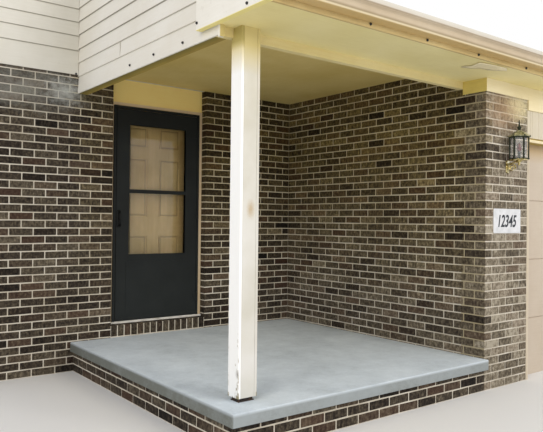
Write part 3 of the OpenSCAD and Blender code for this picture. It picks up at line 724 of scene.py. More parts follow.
# %% Siding on the side wall
# Its boards end at the roof, so they are cut along the underside of the deck with bisect_plane.
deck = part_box("roof_deck")
DECK_T = 0.018
roof_angle = math.atan((deck[1].z - deck[0].z - DECK_T) / (deck[1].y - deck[0].y))
SIDE_LAPS = [side[0].z, 2.653, 2.778, 2.902, 3.032, 3.152]
while SIDE_LAPS[-1] + LAP < side[1].z:
    SIDE_LAPS.append(SIDE_LAPS[-1] + LAP)
SIDE_LAPS.append(side[1].z)
bm = bmesh.new()
bm.verts.layers.float.new("crease_shade")
LAP_SHADE = [0.0, 0.12, 0.45] + [1.0] * len(SIDE_LAPS)       # the lowest laps get less painted shade
for i, (low, high) in enumerate(zip(SIDE_LAPS, SIDE_LAPS[1:])):
    lap_board(bm, side[0].y, side[1].y, low, high, side[0].x, side[1].x, along_y=True, foot=LAP_SHADE[i],
              head=LAP_SHADE[i + 1])
cut_point = Vector((0, side[1].y, side[1].z))
bmesh.ops.bisect_plane(bm, geom=bm.verts[:] + bm.edges[:] + bm.faces[:], dist=1e-6, plane_co=cut_point,
                       plane_no=Vector((0, -math.sin(roof_angle), math.cos(roof_angle))), clear_outer=True)
bmesh.ops.holes_fill(bm, edges=[e for e in bm.edges if e.is_boundary])
bmesh.ops.recalc_face_normals(bm, faces=bm.faces[:])
# Two boards butt in one course; the joint is a hair-wide gap filled with grey caulk.
caulk = brushed_paint("grey_caulk", "#b9b5a6", "#a8a493", along=UPWARD)
SEAM_Y, SEAM_LOW, SEAM_HIGH = 0.454, 2.66, 2.774
block(bm, (side[0].x - 0.0006, SEAM_Y - 0.0012, SEAM_LOW), (side[0].x + 0.004, SEAM_Y + 0.0012, SEAM_HIGH), 1)
piece("side_siding_boards", bm, [side_paint, caulk], ["side_siding"])

# %% [markdown]
# ## Roof
# Three-tab asphalt shingles: strips of felt with mineral granules, each row lapping the one below and
# its slots half a tab out of step. The rows are laid flat as thin wedges and turned to the slope.

# %% Shingles
granules, tree, shader, where = start_material("asphalt_shingle", roughness=0.95)
tone = add(tree, "ShaderNodeAttribute", attribute_name="tone").outputs["Fac"]
grain = add(tree, "ShaderNodeTexNoise", {"Vector": where, "Scale": 300.0, "Detail": 2.0})
both = add(tree, "ShaderNodeMath", {0: grain.outputs["Fac"], 1: 0.8, 2: tone}, operation="MULTIPLY_ADD")
colour = add(tree, "ShaderNodeValToRGB", {"Fac": both.outputs[0]},
             stops=[(0.3, "#3b3631"), (0.8, "#5c554c"), (1.0, "#7a7266")])
join(tree, shader, colour.outputs[0], grain.outputs["Fac"], 0.7, 0.001)

TAB, ROW, SLOT = 0.3048, 0.143, 0.008
run = (deck[1].y - deck[0].y) / math.cos(roof_angle)
BUTT, TOP, FELT = 0.012, 0.005, 0.004       # thickness at a tab's foot, at its head, and of the felt
bm = bmesh.new()
tone_layer = bm.verts.layers.float.new("tone")
dice = random.Random(21)
width = shingle_box[1].x - shingle_box[0].x
for row in range(math.ceil(run / ROW)):
    low, high = row * ROW, min((row + 1) * ROW, run)
    slots = cuts(0, width, TAB / 2 * (row % 2), TAB)
    for a, b in zip(slots, slots[1:]):
        verts = block(bm, (a + SLOT / 2, low, 0.0), (b - SLOT / 2, high, BUTT))
        shade = dice.uniform(0.0, 0.55)
        for vert in verts:
            vert[tone_layer] = shade
            if vert.co.y > high - 1e-5 and vert.co.z > 0.01:
                vert.co.z = TOP
    for vert in block(bm, (0, low, -0.001), (width, high, FELT)):
        vert[tone_layer] = 0.1
lay = (Matrix.Translation((shingle_box[0].x, deck[0].y, shingle_box[0].z))
       @ Matrix.Rotation(roof_angle, 4, "X"))
bmesh.ops.transform(bm, matrix=lay, verts=bm.verts[:])
piece("roof_shingle_tabs", bm, [granules], ["roof_shingles"])

# %% [markdown]
# ## Porch floor
# The floor is one slab of grey concrete that passes the brick skirt by two fingers and shades it. Its
# edge was eased with an edging trowel while it was wet, so the cube operator makes the slab and bevel
# rounds the two free upper edges. A steel trowel leaves clouds of darker and lighter paste.

# %% Concrete slab with an eased edge
concrete, tree, shader, where = start_material("trowelled_concrete", roughness=0.8)
shader.inputs["Specular IOR Level"].default_value = 0.3
clouds = add(tree, "ShaderNodeTexNoise", {"Vector": where, "Scale": 2.6, "Detail": 10.0, "Roughness": 0.8})
sand = add(tree, "ShaderNodeTexNoise", {"Vector": where, "Scale": 150.0, "Detail": 3.0, "Roughness": 0.7})
both = add(tree, "ShaderNodeMath", {0: sand.outputs["Fac"], 1: 0.35, 2: clouds.outputs["Fac"]},
           operation="MULTIPLY_ADD")
paste = add(tree, "ShaderNodeValToRGB", {"Fac": both.outputs[0]},
            stops=[(0.45, "#b0babf"), (0.62, "#c9d3d9"), (0.85, "#dce6ec")])
# The sides of the slab are painted darker than its top, fading out at the rounded edge: painted shade. The
# left side, which is in shade, is painted darker still.
spot = add(tree, "ShaderNodeSeparateXYZ", {"Vector": where}).outputs
painted_shadow = add(tree, "ShaderNodeMapRange", {"Value": spot["Z"], "From Min": slab[1].z - 0.021,
                                        "From Max": slab[1].z + 0.001, "To Min": 1.0, "To Max": 0.0})
left_side_shade = add(tree, "ShaderNodeMapRange", {"Value": spot["X"], "From Min": slab[0].x + 0.008,
                                           "From Max": slab[0].x + 0.002, "To Max": 0.3})
shaded_sides = add(tree, "ShaderNodeMath", {0: painted_shadow.outputs[0], 1: both.outputs[0], 2: left_side_shade.outputs[0]},
             operation="MULTIPLY_ADD")
colour = add(tree, "ShaderNodeMix", {0: shaded_sides.outputs[0], 6: paste.outputs[0], 7: linear("#6d7069")},
             data_type="RGBA").outputs[2]
join(tree, shader, colour, both.outputs[0], 0.3, 0.002)

bm = bmesh.new()
block(bm, slab[0], slab[1])
free = []
for edge in bm.edges:
    at_front = all(v.co.y < slab[0].y + 1e-5 for v in edge.verts)
    at_left = all(v.co.x < slab[0].x + 1e-5 for v in edge.verts)
    on_top = all(v.co.z > slab[1].z - 1e-5 for v in edge.verts)
    if on_top and (at_front or at_left) or at_front and at_left:
        free.append(edge)
bmesh.ops.bevel(bm, geom=free, offset=0.009, offset_type="OFFSET", affect="EDGES", segments=5,
                profile=0.5, material=-1)
for face in bm.faces:
    face.smooth = True
obj = piece("porch_floor_slab", bm, [concrete], ["porch_slab"])
obj.data.set_sharp_from_angle(angle=math.radians(40))

# %% [markdown]
# ## Post
# The post is a box of four boards round a core, painted white many times. The boards stand a hair
# apart at the arrises, so each is its own bevelled block, and the seams come by themselves. Paint wears
# off where hands and chairs rub: the mask of bare wood follows the edges low on the post.

# %% Worn white paint
worn_white, tree, shader, where = start_material("worn_white_oil_paint", roughness=0.5)
patches = add(tree, "ShaderNodeTexNoise", {"Vector": where, "Scale": 3.0, "Detail": 6.0})
white = add(tree, "ShaderNodeValToRGB", {"Fac": patches.outputs["Fac"]},
            stops=[(0.3, "#cac6b7"), (0.5, "#d5d2c7"), (0.75, "#dfddd6")]).outputs[0]
# The left board is painted whiter than the others: painted light of the sun on that side.
sunlit_side = add(tree, "ShaderNodeAttribute", attribute_name="sunlit_side").outputs["Fac"]
white = add(tree, "ShaderNodeMix", {0: sunlit_side, 6: white, 7: linear("#fdfdf9")},
            data_type="RGBA").outputs[2]
# The white turns yellow towards the head, as painted light from the yellow soffit above it, and the head of
# the left face is painted olive as painted shade. Two knocks bared the undercoat: one at hand height in
# front, one low on the left edge.
up_post = add(tree, "ShaderNodeSeparateXYZ", {"Vector": where}).outputs["Z"]
soffit_glow = add(tree, "ShaderNodeMapRange", {"Value": up_post, "From Min": 2.27, "From Max": 2.45,
                                         "To Max": 0.85})
white = add(tree, "ShaderNodeMix", {0: soffit_glow.outputs[0], 6: white, 7: linear("#d8c578")},
            data_type="RGBA").outputs[2]
shaded = add(tree, "ShaderNodeMapRange", {"Value": up_post, "From Min": 2.42, "From Max": 2.475,
                                          "To Max": 0.7})
shaded = add(tree, "ShaderNodeMath", {0: shaded.outputs[0], 1: sunlit_side}, operation="MULTIPLY")
white = add(tree, "ShaderNodeMix", {0: shaded.outputs[0], 6: white, 7: linear("#a39446")},
            data_type="RGBA").outputs[2]
for knock in (("#b59b6c", (-1.145, -1.073, 1.44), (0.03, 0.05, 0.055), 0.75),
              ("#6b6247", (-1.226, -1.073, 0.435), (0.005, 0.03, 0.03), 0.9)):
    white = patch(tree, where, white, *knock)
along = add(tree, "ShaderNodeMapping", {"Vector": where, "Scale": (26.0, 26.0, 7.0)})
flakes = add(tree, "ShaderNodeTexNoise", {"Vector": along.outputs[0], "Scale": 2.4, "Detail": 9.0,
                                          "Roughness": 0.7})
wear = add(tree, "ShaderNodeAttribute", attribute_name="wear").outputs["Fac"]
bare = add(tree, "ShaderNodeMath", {0: wear, 1: 0.34, 2: flakes.outputs["Fac"]}, operation="MULTIPLY_ADD")
bare = add(tree, "ShaderNodeMapRange", {"Value": bare.outputs[0], "From Min": 0.79, "From Max": 0.84})
wood = add(tree, "ShaderNodeValToRGB", {"Fac": flakes.outputs["Fac"]},
           stops=[(0.4, "#7d7a55"), (0.65, "#a6977a")])
colour = add(tree, "ShaderNodeMix", {0: bare.outputs[0], 6: white, 7: wood.outputs[0]},
             data_type="RGBA").outputs[2]
lift = add(tree, "ShaderNodeMath", {0: 1.0, 1: bare.outputs[0]}, operation="SUBTRACT")
join(tree, shader, colour, lift.outputs[0], 0.6, 0.0008)
print(worn_white.name, "nodes:", len(tree.nodes))

# %% Post boards
post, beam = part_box("porch_post"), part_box("front_beam")
# The beam sits in a notch at the back of the head, so the rear boards and the core's rear half end
# under it. Cuts that crowd towards the foot give the wear values points to sit on.
bm = bmesh.new()
wear_layer = bm.verts.layers.float.new("wear")
sunlit_layer = bm.verts.layers.float.new("sunlit_side")
BOARD, SEAM, BACKSET, BITE = 0.019, 0.0012, 0.0008, 0.002
(px0, py0, pz0), (px1, py1, pz1) = post
notch_y, notch_z = beam[0].y, beam[0].z
in_x0, in_x1 = px0 + BOARD, px1 - BOARD
boards = [((px0, py0, pz0), (in_x0, notch_y, pz1)),
          ((in_x1, py0, pz0), (px1, notch_y, pz1)),
          ((in_x0 + SEAM, py0 + BACKSET, pz0), (in_x1 - SEAM, py0 + BOARD, pz1)),
          ((px0, notch_y, pz0), (in_x0, py1, notch_z)),
          ((in_x1, notch_y, pz0), (px1, py1, notch_z)),
          ((in_x0 + SEAM, py1 - BOARD, pz0), (in_x1 - SEAM, py1 - BACKSET, notch_z)),
          ((in_x0 - BITE, py0 + BOARD - BITE, pz0 + BITE), (in_x1 + BITE, notch_y - BITE, pz1 - BITE)),
          ((in_x0 - BITE, notch_y - 2 * BITE, pz0 + BITE),
           (in_x1 + BITE, py1 - BOARD + BITE, notch_z - BITE))]
for low, high in boards:
    bevelled(bm, low, high, 0.0016)
SLICES = 24
for i in range(1, SLICES):
    cut = Vector((0, 0, pz0 + (pz1 - pz0) * (i / SLICES) ** 1.6))
    bmesh.ops.bisect_plane(bm, geom=bm.verts[:] + bm.edges[:] + bm.faces[:], dist=1e-7, plane_co=cut,
                           plane_no=(0, 0, 1))
for vert in bm.verts:
    rim = min(vert.co.x - px0, px1 - vert.co.x, 0.03) + min(vert.co.y - py0, py1 - vert.co.y, 0.03)
    foot = max(0.0, 1.0 - (vert.co.z - pz0) / 0.75)
    # The left board carries the painted light of the sun on that side.
    vert[sunlit_layer] = 1.0 if vert.co.x < in_x0 + SEAM / 2 else 0.0
    at_edge, at_foot = max(0.0, 1.0 - rim / 0.012), max(0.0, foot - 0.94) / 0.06
    vert[wear_layer] = (0.25 + 0.75 * foot) * at_edge + 0.5 * at_foot
piece("post_boards", bm, [worn_white], ["porch_post"])


# %% Lathe work
def facing_street(x, y, z):
    """A place whose Z axis points at the street, for lathe work on an upright face."""
    return Matrix.Translation((x, y, z)) @ Matrix.Rotation(math.pi / 2, 4, "X")


def turned(bm, profile, place, sides=32, material=0):
    """Spins a profile of (radius, height) points about Z, as on a lathe, and puts it at a place."""
    before = set(bm.verts)
    line = [bm.verts.new((radius, 0, height)) for radius, height in profile]
    edges = [bm.edges.new(pair) for pair in zip(line, line[1:])]
    bmesh.ops.spin(bm, geom=line + edges, cent=(0, 0, 0), axis=(0, 0, 1), angle=2 * math.pi, steps=sides,
                   use_merge=True)
    bmesh.ops.remove_doubles(bm, verts=[v for v in bm.verts if v not in before], dist=1e-6)
    verts = [v for v in bm.verts if v not in before]
    faces = list({f for v in verts for f in v.link_faces})
    for face in faces:
        face.material_index = material
        face.smooth = True
    bmesh.ops.recalc_face_normals(bm, faces=faces)
    bmesh.ops.transform(bm, matrix=place, verts=verts)
    return verts

# %% Shoe under the post
# Cast shoe, once painted black: rust shows brown through flat black paint, with pale chips.
shoe_iron = mottled("rusty_black_iron",
                    [(0.4, "#222120"), (0.55, "#3a2c22"), (0.66, "#6a4f38"), (0.78, "#b9b3a6")],
                    60.0, 8.0, 0.7, roughness=0.75, relief=(0.6, 0.001))
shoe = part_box("post_shoe")
FLANGE = 0.006
bm = bmesh.new()
bevelled(bm, shoe[0], shoe[1], 0.002)
bevelled(bm, (shoe[0].x - FLANGE, shoe[0].y - FLANGE, shoe[0].z),
         (shoe[1].x + FLANGE, shoe[1].y + FLANGE, shoe[0].z + FLANGE), 0.0015)
for x in (shoe[0].x + 0.016, shoe[1].x - 0.016):
    turned(bm, [(0, 0.004), (0.004, 0.004), (0.005, 0.002), (0.005, -0.002), (0, -0.002)],
           facing_street(x, shoe[0].y - 0.001, shoe[0].z + 0.015), sides=6)
piece("post_shoe_casting", bm, [shoe_iron], ["post_shoe"])

# %% [markdown]
# ## Threshold and storm door
# The storm door is pressed aluminium with a baked black finish: matt, even, a little dusty near its
# foot. Its big shapes are right as packed, so they keep their solids and get the finish.

# %% Black enamels, aluminium, glass and rubber
black_enamel, tree, shader, where = start_material("black_baked_enamel", roughness=0.55)
shader.inputs["Specular IOR Level"].default_value = 0.22
dust = add(tree, "ShaderNodeTexNoise", {"Vector": where, "Scale": 6.0, "Detail": 6.0})
high_up = add(tree, "ShaderNodeSeparateXYZ", {"Vector": where}).outputs["Z"]
low_down = add(tree, "ShaderNodeMapRange", {"Value": high_up, "From Min": 0.4, "From Max": 1.3,
                                            "To Min": 0.3, "To Max": 0.0})
dusty = add(tree, "ShaderNodeMath", {0: dust.outputs["Fac"], 1: 0.5, 2: low_down.outputs[0]},
            operation="MULTIPLY_ADD")
colour = add(tree, "ShaderNodeValToRGB", {"Fac": dusty.outputs[0]},
             stops=[(0.15, "#171a19"), (0.4, "#1f2322"), (0.7, "#272b2a")])
fine = add(tree, "ShaderNodeTexNoise", {"Vector": where, "Scale": 500.0})
join(tree, shader, colour.outputs[0], fine.outputs["Fac"], 0.08, 0.0005)

satin_black = mottled("black_satin_enamel", [(0.35, "#050606"), (0.7, "#101211")], 45.0, 5.0, roughness=0.45,
                      gloss={"To Min": 0.35, "To Max": 0.6}, sockets={"Specular IOR Level": 0.25})
insert_metal = mottled("anodised_aluminium", [(0.35, "#a9a294"), (0.7, "#d6d0c4")], 1.0, 3.0, roughness=0.4,
                       metallic=0.6, stretch=(200.0, 200.0, 4.0))
pane = mottled("float_glass", [(0.3, "#eef2ee"), (0.7, "#fbfcfa")], 3.0, 5.0, roughness=0.02,
               sockets={"Transmission Weight": 1.0, "IOR": 1.45, "Specular IOR Level": 0.3})
saddle_metal = mottled("white_painted_aluminium", [(0.35, "#b7b3a8"), (0.5, "#e4e1d8"), (0.7, "#f0eee8")],
                       3.0, 6.0, roughness=0.45, stretch=(4.0, 60.0, 60.0), relief=(0.2, 0.0005))
rubber = mottled("black_rubber", [(0.3, "#141414"), (0.7, "#1f1f1e")], 200.0, roughness=0.85)
paint(black_enamel, "storm_frame", "storm_leaf", "kick_panel")
paint(pane, "storm_glass")
print("the storm door's solids have", black_enamel.name, "and", pane.name)


# %% Outlines made solid
def thickened(bm, flat, shift, material):
    """Extrudes flat faces by a shift into a closed solid and gives its vertices."""
    made = bmesh.ops.extrude_face_region(bm, geom=flat)["geom"]
    moved = [v for v in made if isinstance(v, bmesh.types.BMVert)]
    bmesh.ops.translate(bm, verts=moved, vec=shift)
    faces = list({f for v in moved for f in v.link_faces} | set(flat))
    for face in faces:
        face.material_index = material
    bmesh.ops.recalc_face_normals(bm, faces=faces)
    return list({v for f in faces for v in f.verts})


def extruded(bm, outline, start, end, material=0):
    """Fills a closed outline of (y, z) and extrudes it along X from start to end."""
    face = bm.faces.new([bm.verts.new((start, y, z)) for y, z in outline])
    return thickened(bm, [face], (end - start, 0, 0), material)

# %% Threshold saddle
# Its side view is drawn from the foot up over the back, then forwards along the top, groove by groove.
(sx0, sy0, sz0), (sx1, sy1, sz1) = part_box("threshold")
GROOVES, GROOVE_STEP = 6, 0.018
bm = bmesh.new()
outline = [(sy0, sz0), (sy1, sz0), (sy1, sz1)]
for i in range(GROOVES):
    far = sy1 - 0.02 - i * GROOVE_STEP
    outline += [(far, sz1), (far - 0.003, sz1 - 0.003), (far - 0.009, sz1 - 0.003), (far - 0.012, sz1)]
outline += [(sy0 + 0.004, sz1), (sy0, sz1 - 0.004)]
soften(bm, extruded(bm, outline, sx0, sx1), 0.0006, segments=1)
piece("threshold_saddle", bm, [saddle_metal], ["threshold"])

# %% Glazing beads, screws and sweep of the storm door
leaf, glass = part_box("storm_leaf"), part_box("storm_glass")
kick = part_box("kick_panel")
leaf_y0, leaf_y1 = leaf[1].y - 0.028, leaf[1].y
# A bead runs round each pane on both sides and a rubber gasket inside it; the lower pane also has the
# bright frame of its insert. Screws hold the beads beside the rails.
MID_RAIL, BEAD, GASKET, INSERT = 0.036, 0.010, 0.003, 0.0135
gap_z = leaf[0].z + 1.224
glass_front, glass_back = leaf_y0 + 0.0105, leaf_y1 - 0.0105
panes = [((glass[0].x, glass[0].z), (glass[1].x, gap_z)),
         ((glass[0].x, gap_z + MID_RAIL), (glass[1].x, glass[1].z))]


def ring_frame(bm, low, high, width, back, front, material=0):
    """A mitred frame in an upright opening: a face is inset, its middle taken out, the rest extruded."""
    (x0, z0), (x1, z1) = low, high
    corners = ((x0, back, z0), (x1, back, z0), (x1, back, z1), (x0, back, z1))
    face = bm.faces.new([bm.verts.new(corner) for corner in corners])
    ring = bmesh.ops.inset_individual(bm, faces=[face], thickness=width, depth=0.0)["faces"]
    bmesh.ops.delete(bm, geom=[face], context="FACES_ONLY")
    return thickened(bm, ring, (0, front - back, 0), material)


def ring_inside(low, high, inset, width, back, front, material, bevel):
    """A softened frame that lies inside the outline of a pane by an inset."""
    soften(bm, ring_frame(bm, (low[0] + inset, low[1] + inset), (high[0] - inset, high[1] - inset), width,
                          back, front, material), bevel)


bm = bmesh.new()
for low, high in panes:
    ring_inside(low, high, 0, BEAD, glass_front, leaf_y0 - 0.002, 0, 0.0012)
    ring_inside(low, high, 0, BEAD, glass_back, leaf_y1 + 0.002, 0, 0.0012)
    ring_inside(low, high, BEAD, GASKET, glass_front, leaf_y0 + 0.004, 1, 0.0008)
ring_inside(*panes[0], INSERT, 0.006, glass_front, leaf_y0 + 0.0055, 2, 0.001)
for x in (glass[0].x - 0.012, glass[1].x + 0.012):
    for z in (panes[0][0][1] - 0.012, panes[0][1][1] + MID_RAIL / 2, panes[1][1][1] + 0.012):
        turned(bm, [(0, 0.0016), (0.002, 0.0014), (0.0038, 0.0), (0.0038, -0.002), (0, -0.002)],
               facing_street(x, leaf_y0 + 0.0002, z), sides=10)
piece("storm_glazing_beads", bm, [black_enamel, rubber, insert_metal], body="storm_door")

bm = bmesh.new()
sweep_x0, sweep_x1 = leaf[0].x + 0.004, kick[1].x + 0.108
SWEEP_T, END_GAP, SCREWS = 0.003, 0.05, 5
bevelled(bm, (sweep_x0, leaf_y0 - SWEEP_T, leaf[0].z + 0.004), (sweep_x1, leaf_y0, leaf[0].z + 0.034), 0.001)
for i in range(SCREWS):
    x = sweep_x0 + END_GAP + i * (sweep_x1 - sweep_x0 - 2 * END_GAP) / (SCREWS - 1)
    turned(bm, [(0, 0.0012), (0.002, 0.001), (0.0034, 0.0), (0.0034, -0.001), (0, -0.001)],
           facing_street(x, leaf_y0 - SWEEP_T, leaf[0].z + 0.019), sides=10)
piece("storm_sweep", bm, [black_enamel], body="storm_door")


# %% A bar along a path
def tube(bm, path, radius, sides=12):
    """A round bar along a path: a circle that is extruded from point to point and turned to follow."""
    path = [Vector(p) for p in path]
    radii = radius if isinstance(radius, list) else [radius] * len(path)
    aims = [(path[min(i + 1, len(path) - 1)] - path[max(i - 1, 0)]).normalized() for i in range(len(path))]
    turn = aims[0].to_track_quat("Z", "Y")
    here = Matrix.Translation(path[0]) @ turn.to_matrix().to_4x4() @ Matrix.Scale(radii[0], 4)
    ring = bmesh.ops.create_circle(bm, cap_ends=False, radius=1.0, segments=sides, matrix=here)["verts"]
    start, everything = ring, set(ring)
    for i in range(1, len(path)):
        turn = aims[i - 1].rotation_difference(aims[i]) @ turn
        there = Matrix.Translation(path[i]) @ turn.to_matrix().to_4x4() @ Matrix.Scale(radii[i], 4)
        edges = [e for e in {e for v in ring for e in v.link_edges} if all(v in ring for v in e.verts)]
        made = bmesh.ops.extrude_edge_only(bm, edges=edges)["geom"]
        ring = [v for v in made if isinstance(v, bmesh.types.BMVert)]
        bmesh.ops.transform(bm, matrix=there @ here.inverted(), verts=ring)
        everything |= set(ring)
        here = there
    for end in (start, ring):
        edges = [e for e in {e for v in end for e in v.link_edges} if all(v in end for v in e.verts)]
        bmesh.ops.holes_fill(bm, edges=edges)
    faces = list({f for v in everything for f in v.link_faces})
    for face in faces:
        face.smooth = len(face.verts) == 4
    bmesh.ops.recalc_face_normals(bm, faces=faces)

# %% Pull of the storm door
# A stadium plate comes from a disc whose upper half is moved up; the pull is a bar along a bow. The
# push button sits behind the bow, and a plain plate backs the pull on the inner side.
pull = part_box("storm_handle")
plate_r = (pull[1].x - pull[0].x) / 2
pull_x, pull_z0, pull_z1 = (pull[0].x + pull[1].x) / 2, pull[0].z + plate_r, pull[1].z - plate_r
bm = bmesh.new()
verts = turned(bm, [(0, 0), (plate_r, 0), (plate_r, 0.0035), (plate_r - 0.0025, 0.006), (0, 0.006)],
               facing_street(pull_x, leaf_y0, pull_z0), sides=40)
for vert in verts:
    if vert.co.z > pull_z0 + 1e-6:
        vert.co.z += pull_z1 - pull_z0
BOW, BENDS, BAR_R = 0.033, 13, 0.0075
bow = [(pull_x, leaf_y0 - 0.004, pull_z0 + 0.002)]
for i in range(BENDS):
    angle = math.pi * (i / (BENDS - 1) - 0.5)
    height = (pull_z0 + pull_z1) / 2 + math.sin(angle) * (pull_z1 - pull_z0) / 2 * 1.02
    bow.append((pull_x, leaf_y0 - 0.006 - BOW * min(1.0, math.cos(angle) * 1.5) * 0.85, height))
bow.append((pull_x, leaf_y0 - 0.004, pull_z1 - 0.002))
tube(bm, bow, BAR_R, sides=14)
bevelled(bm, (pull_x - 0.008, leaf_y0 - 0.02, pull_z0 + 0.055), (pull_x + 0.008, leaf_y0, pull_z0 + 0.073),
         0.003)
bevelled(bm, (pull_x - 0.014, leaf_y1, pull_z0 + 0.019), (pull_x + 0.014, leaf_y1 + 0.011, pull_z1 - 0.019),
         0.003)
piece("storm_pull", bm, [satin_black], ["storm_handle"], body="storm_door")

# %% [markdown]
# ## Entry door
# Behind the glass hangs a six-panel door in tan paint. Each panel sits in a moulded frame and has a
# raised field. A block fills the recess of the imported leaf, and repeated insets of its front face,
# each with its own depth, cut the moulding, the flat and the slope of the field.

# %% Six raised panels on each face
tan_paint = brushed_paint("tan_door_paint", "#e6c68c", "#c6a264", roughness=0.5, along=(15.0, 15.0, 1.4),
                          crease_shade=0.4, painted_shadow="#6d4f22")
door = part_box("entry_leaf")
DOOR_W, DOOR_T, STILE, MULL, DISH, PROUD = 0.902, 0.044, 0.156, 0.146, 0.0085, 0.0002
door_y0, door_y1 = door[0].y, door[0].y + DOOR_T
panel_w = (DOOR_W - 2 * STILE - MULL) / 2
door_h = door[1].z - door[0].z
PANEL_ROWS = ((0.1125, 0.398), (0.4915, 0.777), (0.83, 0.93))       # foot and head as parts of the height
STEPS = ((0.003, -0.0005), (0.004, -0.0025), (0.004, -0.0022), (0.006, 0.0), (0.012, 0.0022), (0.003, 0.0014))
bm = bmesh.new()
crease_shade = bm.verts.layers.float.new("crease_shade")
for foot, head in PANEL_ROWS:
    for i in range(2):
        x0 = door[0].x + STILE + i * (panel_w + MULL)
        z0, z1 = door[0].z + foot * door_h, door[0].z + head * door_h
        for back, front in ((door_y0 + DISH, door_y0 - PROUD), (door_y1 - DISH, door_y1 + PROUD)):
            verts = block(bm, (x0, min(back, front), z0), (x0 + panel_w, max(back, front), z1))
            face = next(f for f in {f for v in verts for f in v.link_faces}
                        if all(abs(v.co.y - front) < 1e-6 for v in f.verts))
            for width, depth in STEPS:
                bmesh.ops.inset_individual(bm, faces=[face], thickness=width, depth=depth,
                                           use_even_offset=True)
# The deepest part of the moulding is painted darker: painted shade.
for vert in bm.verts:
    deep = min(vert.co.y - door_y0, door_y1 - vert.co.y)
    vert[crease_shade] = 1.0 if 0.0045 < deep < 0.007 else 0.0
piece("entry_raised_panels", bm, [tan_paint], body="entry_door")
paint(tan_paint, "entry_leaf")

# %% Knob of the entry door
# Knobs are lathe work: one profile is spun about the knob's own axis, once for each face.
brass = mottled("lacquered_brass", [(0.38, "#7a6a38"), (0.5, "#dccb8c"), (0.62, "#fdf3cc")], 40.0, 5.0,
                roughness=0.2, metallic=1.0,
                gloss={"From Min": 0.4, "From Max": 0.7, "To Min": 0.36, "To Max": 0.12})
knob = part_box("entry_knob")
knob_x, knob_z = (knob[0].x + knob[1].x) / 2, (knob[0].z + knob[1].z) / 2
PROFILE = [(0, 0), (0.033, 0), (0.033, 0.003), (0.029, 0.0065), (0.016, 0.008), (0.0125, 0.012),
           (0.0115, 0.022), (0.015, 0.03), (0.023, 0.035), (0.0262, 0.043), (0.0255, 0.051), (0.021, 0.0565),
           (0.012, 0.0592), (0, 0.0598)]
bm = bmesh.new()
for face_y, turn in ((door_y0, math.pi / 2), (door_y1, -math.pi / 2)):
    turned(bm, PROFILE, Matrix.Translation((knob_x, face_y, knob_z)) @ Matrix.Rotation(turn, 4, "X"))
piece("entry_knob_turned", bm, [brass], ["entry_knob"], body="entry_door")

# %% [markdown]
# ## Gutter, fascia and roof edge
# The gutter is roll-formed steel with a beige baked finish: a flat back, a flat bottom and an ogee
# front that ends in a folded lip. Its side view is drawn once as an open line of edges, extruded along
# the eave into a sheet, and given the thickness of the metal with solidify.

# %% Gutter sheet and its end caps
beige_enamel, tree, shader, where = start_material("beige_baked_enamel", roughness=0.5)
shader.inputs["Specular IOR Level"].default_value = 0.35
streaks = add(tree, "ShaderNodeMapping", {"Vector": where, "Scale": (5.0, 22.0, 3.0)})
streaks = add(tree, "ShaderNodeTexNoise", {"Vector": streaks.outputs[0], "Scale": 1.5, "Detail": 6.0})
fade = add(tree, "ShaderNodeTexNoise", {"Vector": where, "Scale": 1.2, "Detail": 3.0})
both = add(tree, "ShaderNodeMath", {0: streaks.outputs["Fac"], 1: 0.5, 2: fade.outputs["Fac"]},
           operation="MULTIPLY_ADD")
colour = add(tree, "ShaderNodeValToRGB", {"Fac": both.outputs[0]},
             stops=[(0.5, "#ab977b"), (0.72, "#b9a78d"), (0.95, "#c5b7a0")])
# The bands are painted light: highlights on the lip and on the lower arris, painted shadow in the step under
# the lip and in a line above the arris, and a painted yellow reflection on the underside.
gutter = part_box("rain_gutter")
up_it = add(tree, "ShaderNodeSeparateXYZ", {"Vector": where}).outputs["Z"]
up_it = add(tree, "ShaderNodeMapRange", {"Value": up_it, "From Min": gutter[0].z, "From Max": gutter[1].z})
painted_light_bands = add(tree, "ShaderNodeValToRGB", {"Fac": up_it.outputs[0]},
            stops=[(0.0, "#d4b470"), (0.03, "#efe0b8"), (0.08, "#efe0b8"), (0.13, "#9c8a68"),
                   (0.18, "#9c8a68"), (0.27, "#dccbab"), (0.58, "#dccbab"), (0.64, "#7f725c"),
                   (0.7, "#8b7f6a"), (0.74, "#d0cbbe"), (1.0, "#dad9ce")])
how_much = add(tree, "ShaderNodeValToRGB", {"Fac": up_it.outputs[0]},
               stops=[(0.0, 0.75), (0.15, 0.7), (0.24, 0.35), (0.58, 0.35), (0.64, 0.5), (0.7, 0.5),
                      (0.74, 0.75), (1.0, 0.75)])
colour = add(tree, "ShaderNodeMix", {0: how_much.outputs[0], 6: colour.outputs[0], 7: painted_light_bands.outputs[0]},
             data_type="RGBA")
join(tree, shader, colour.outputs[2], fade.outputs["Fac"], 0.15, 0.003)

(gx0, gy0, gz0), (gx1, gy1, gz1) = gutter
OGEE = [(gy1, gz1), (gy1, gz0), (gy0 + 0.044, gz0), (gy0 + 0.0385, gz0 + 0.0035), (gy0 + 0.032, gz0 + 0.013),
        (gy0 + 0.0265, gz0 + 0.026), (gy0 + 0.023, gz0 + 0.038), (gy0 + 0.0185, gz0 + 0.047),
        (gy0 + 0.011, gz0 + 0.0535), (gy0 + 0.003, gz0 + 0.058), (gy0, gz0 + 0.064), (gy0, gz1),
        (gy0 + 0.013, gz1), (gy0 + 0.014, gz1 - 0.007)]
METAL, CAP, HANGERS = 0.0015, 0.002, 6
bm = bmesh.new()
line = [bm.verts.new((gx0 + CAP, y, z)) for y, z in OGEE]
edges = [bm.edges.new(pair) for pair in zip(line, line[1:])]
made = bmesh.ops.extrude_edge_only(bm, edges=edges)["geom"]
bmesh.ops.translate(bm, verts=[v for v in made if isinstance(v, bmesh.types.BMVert)],
                    vec=(gx1 - gx0 - 2 * CAP, 0, 0))
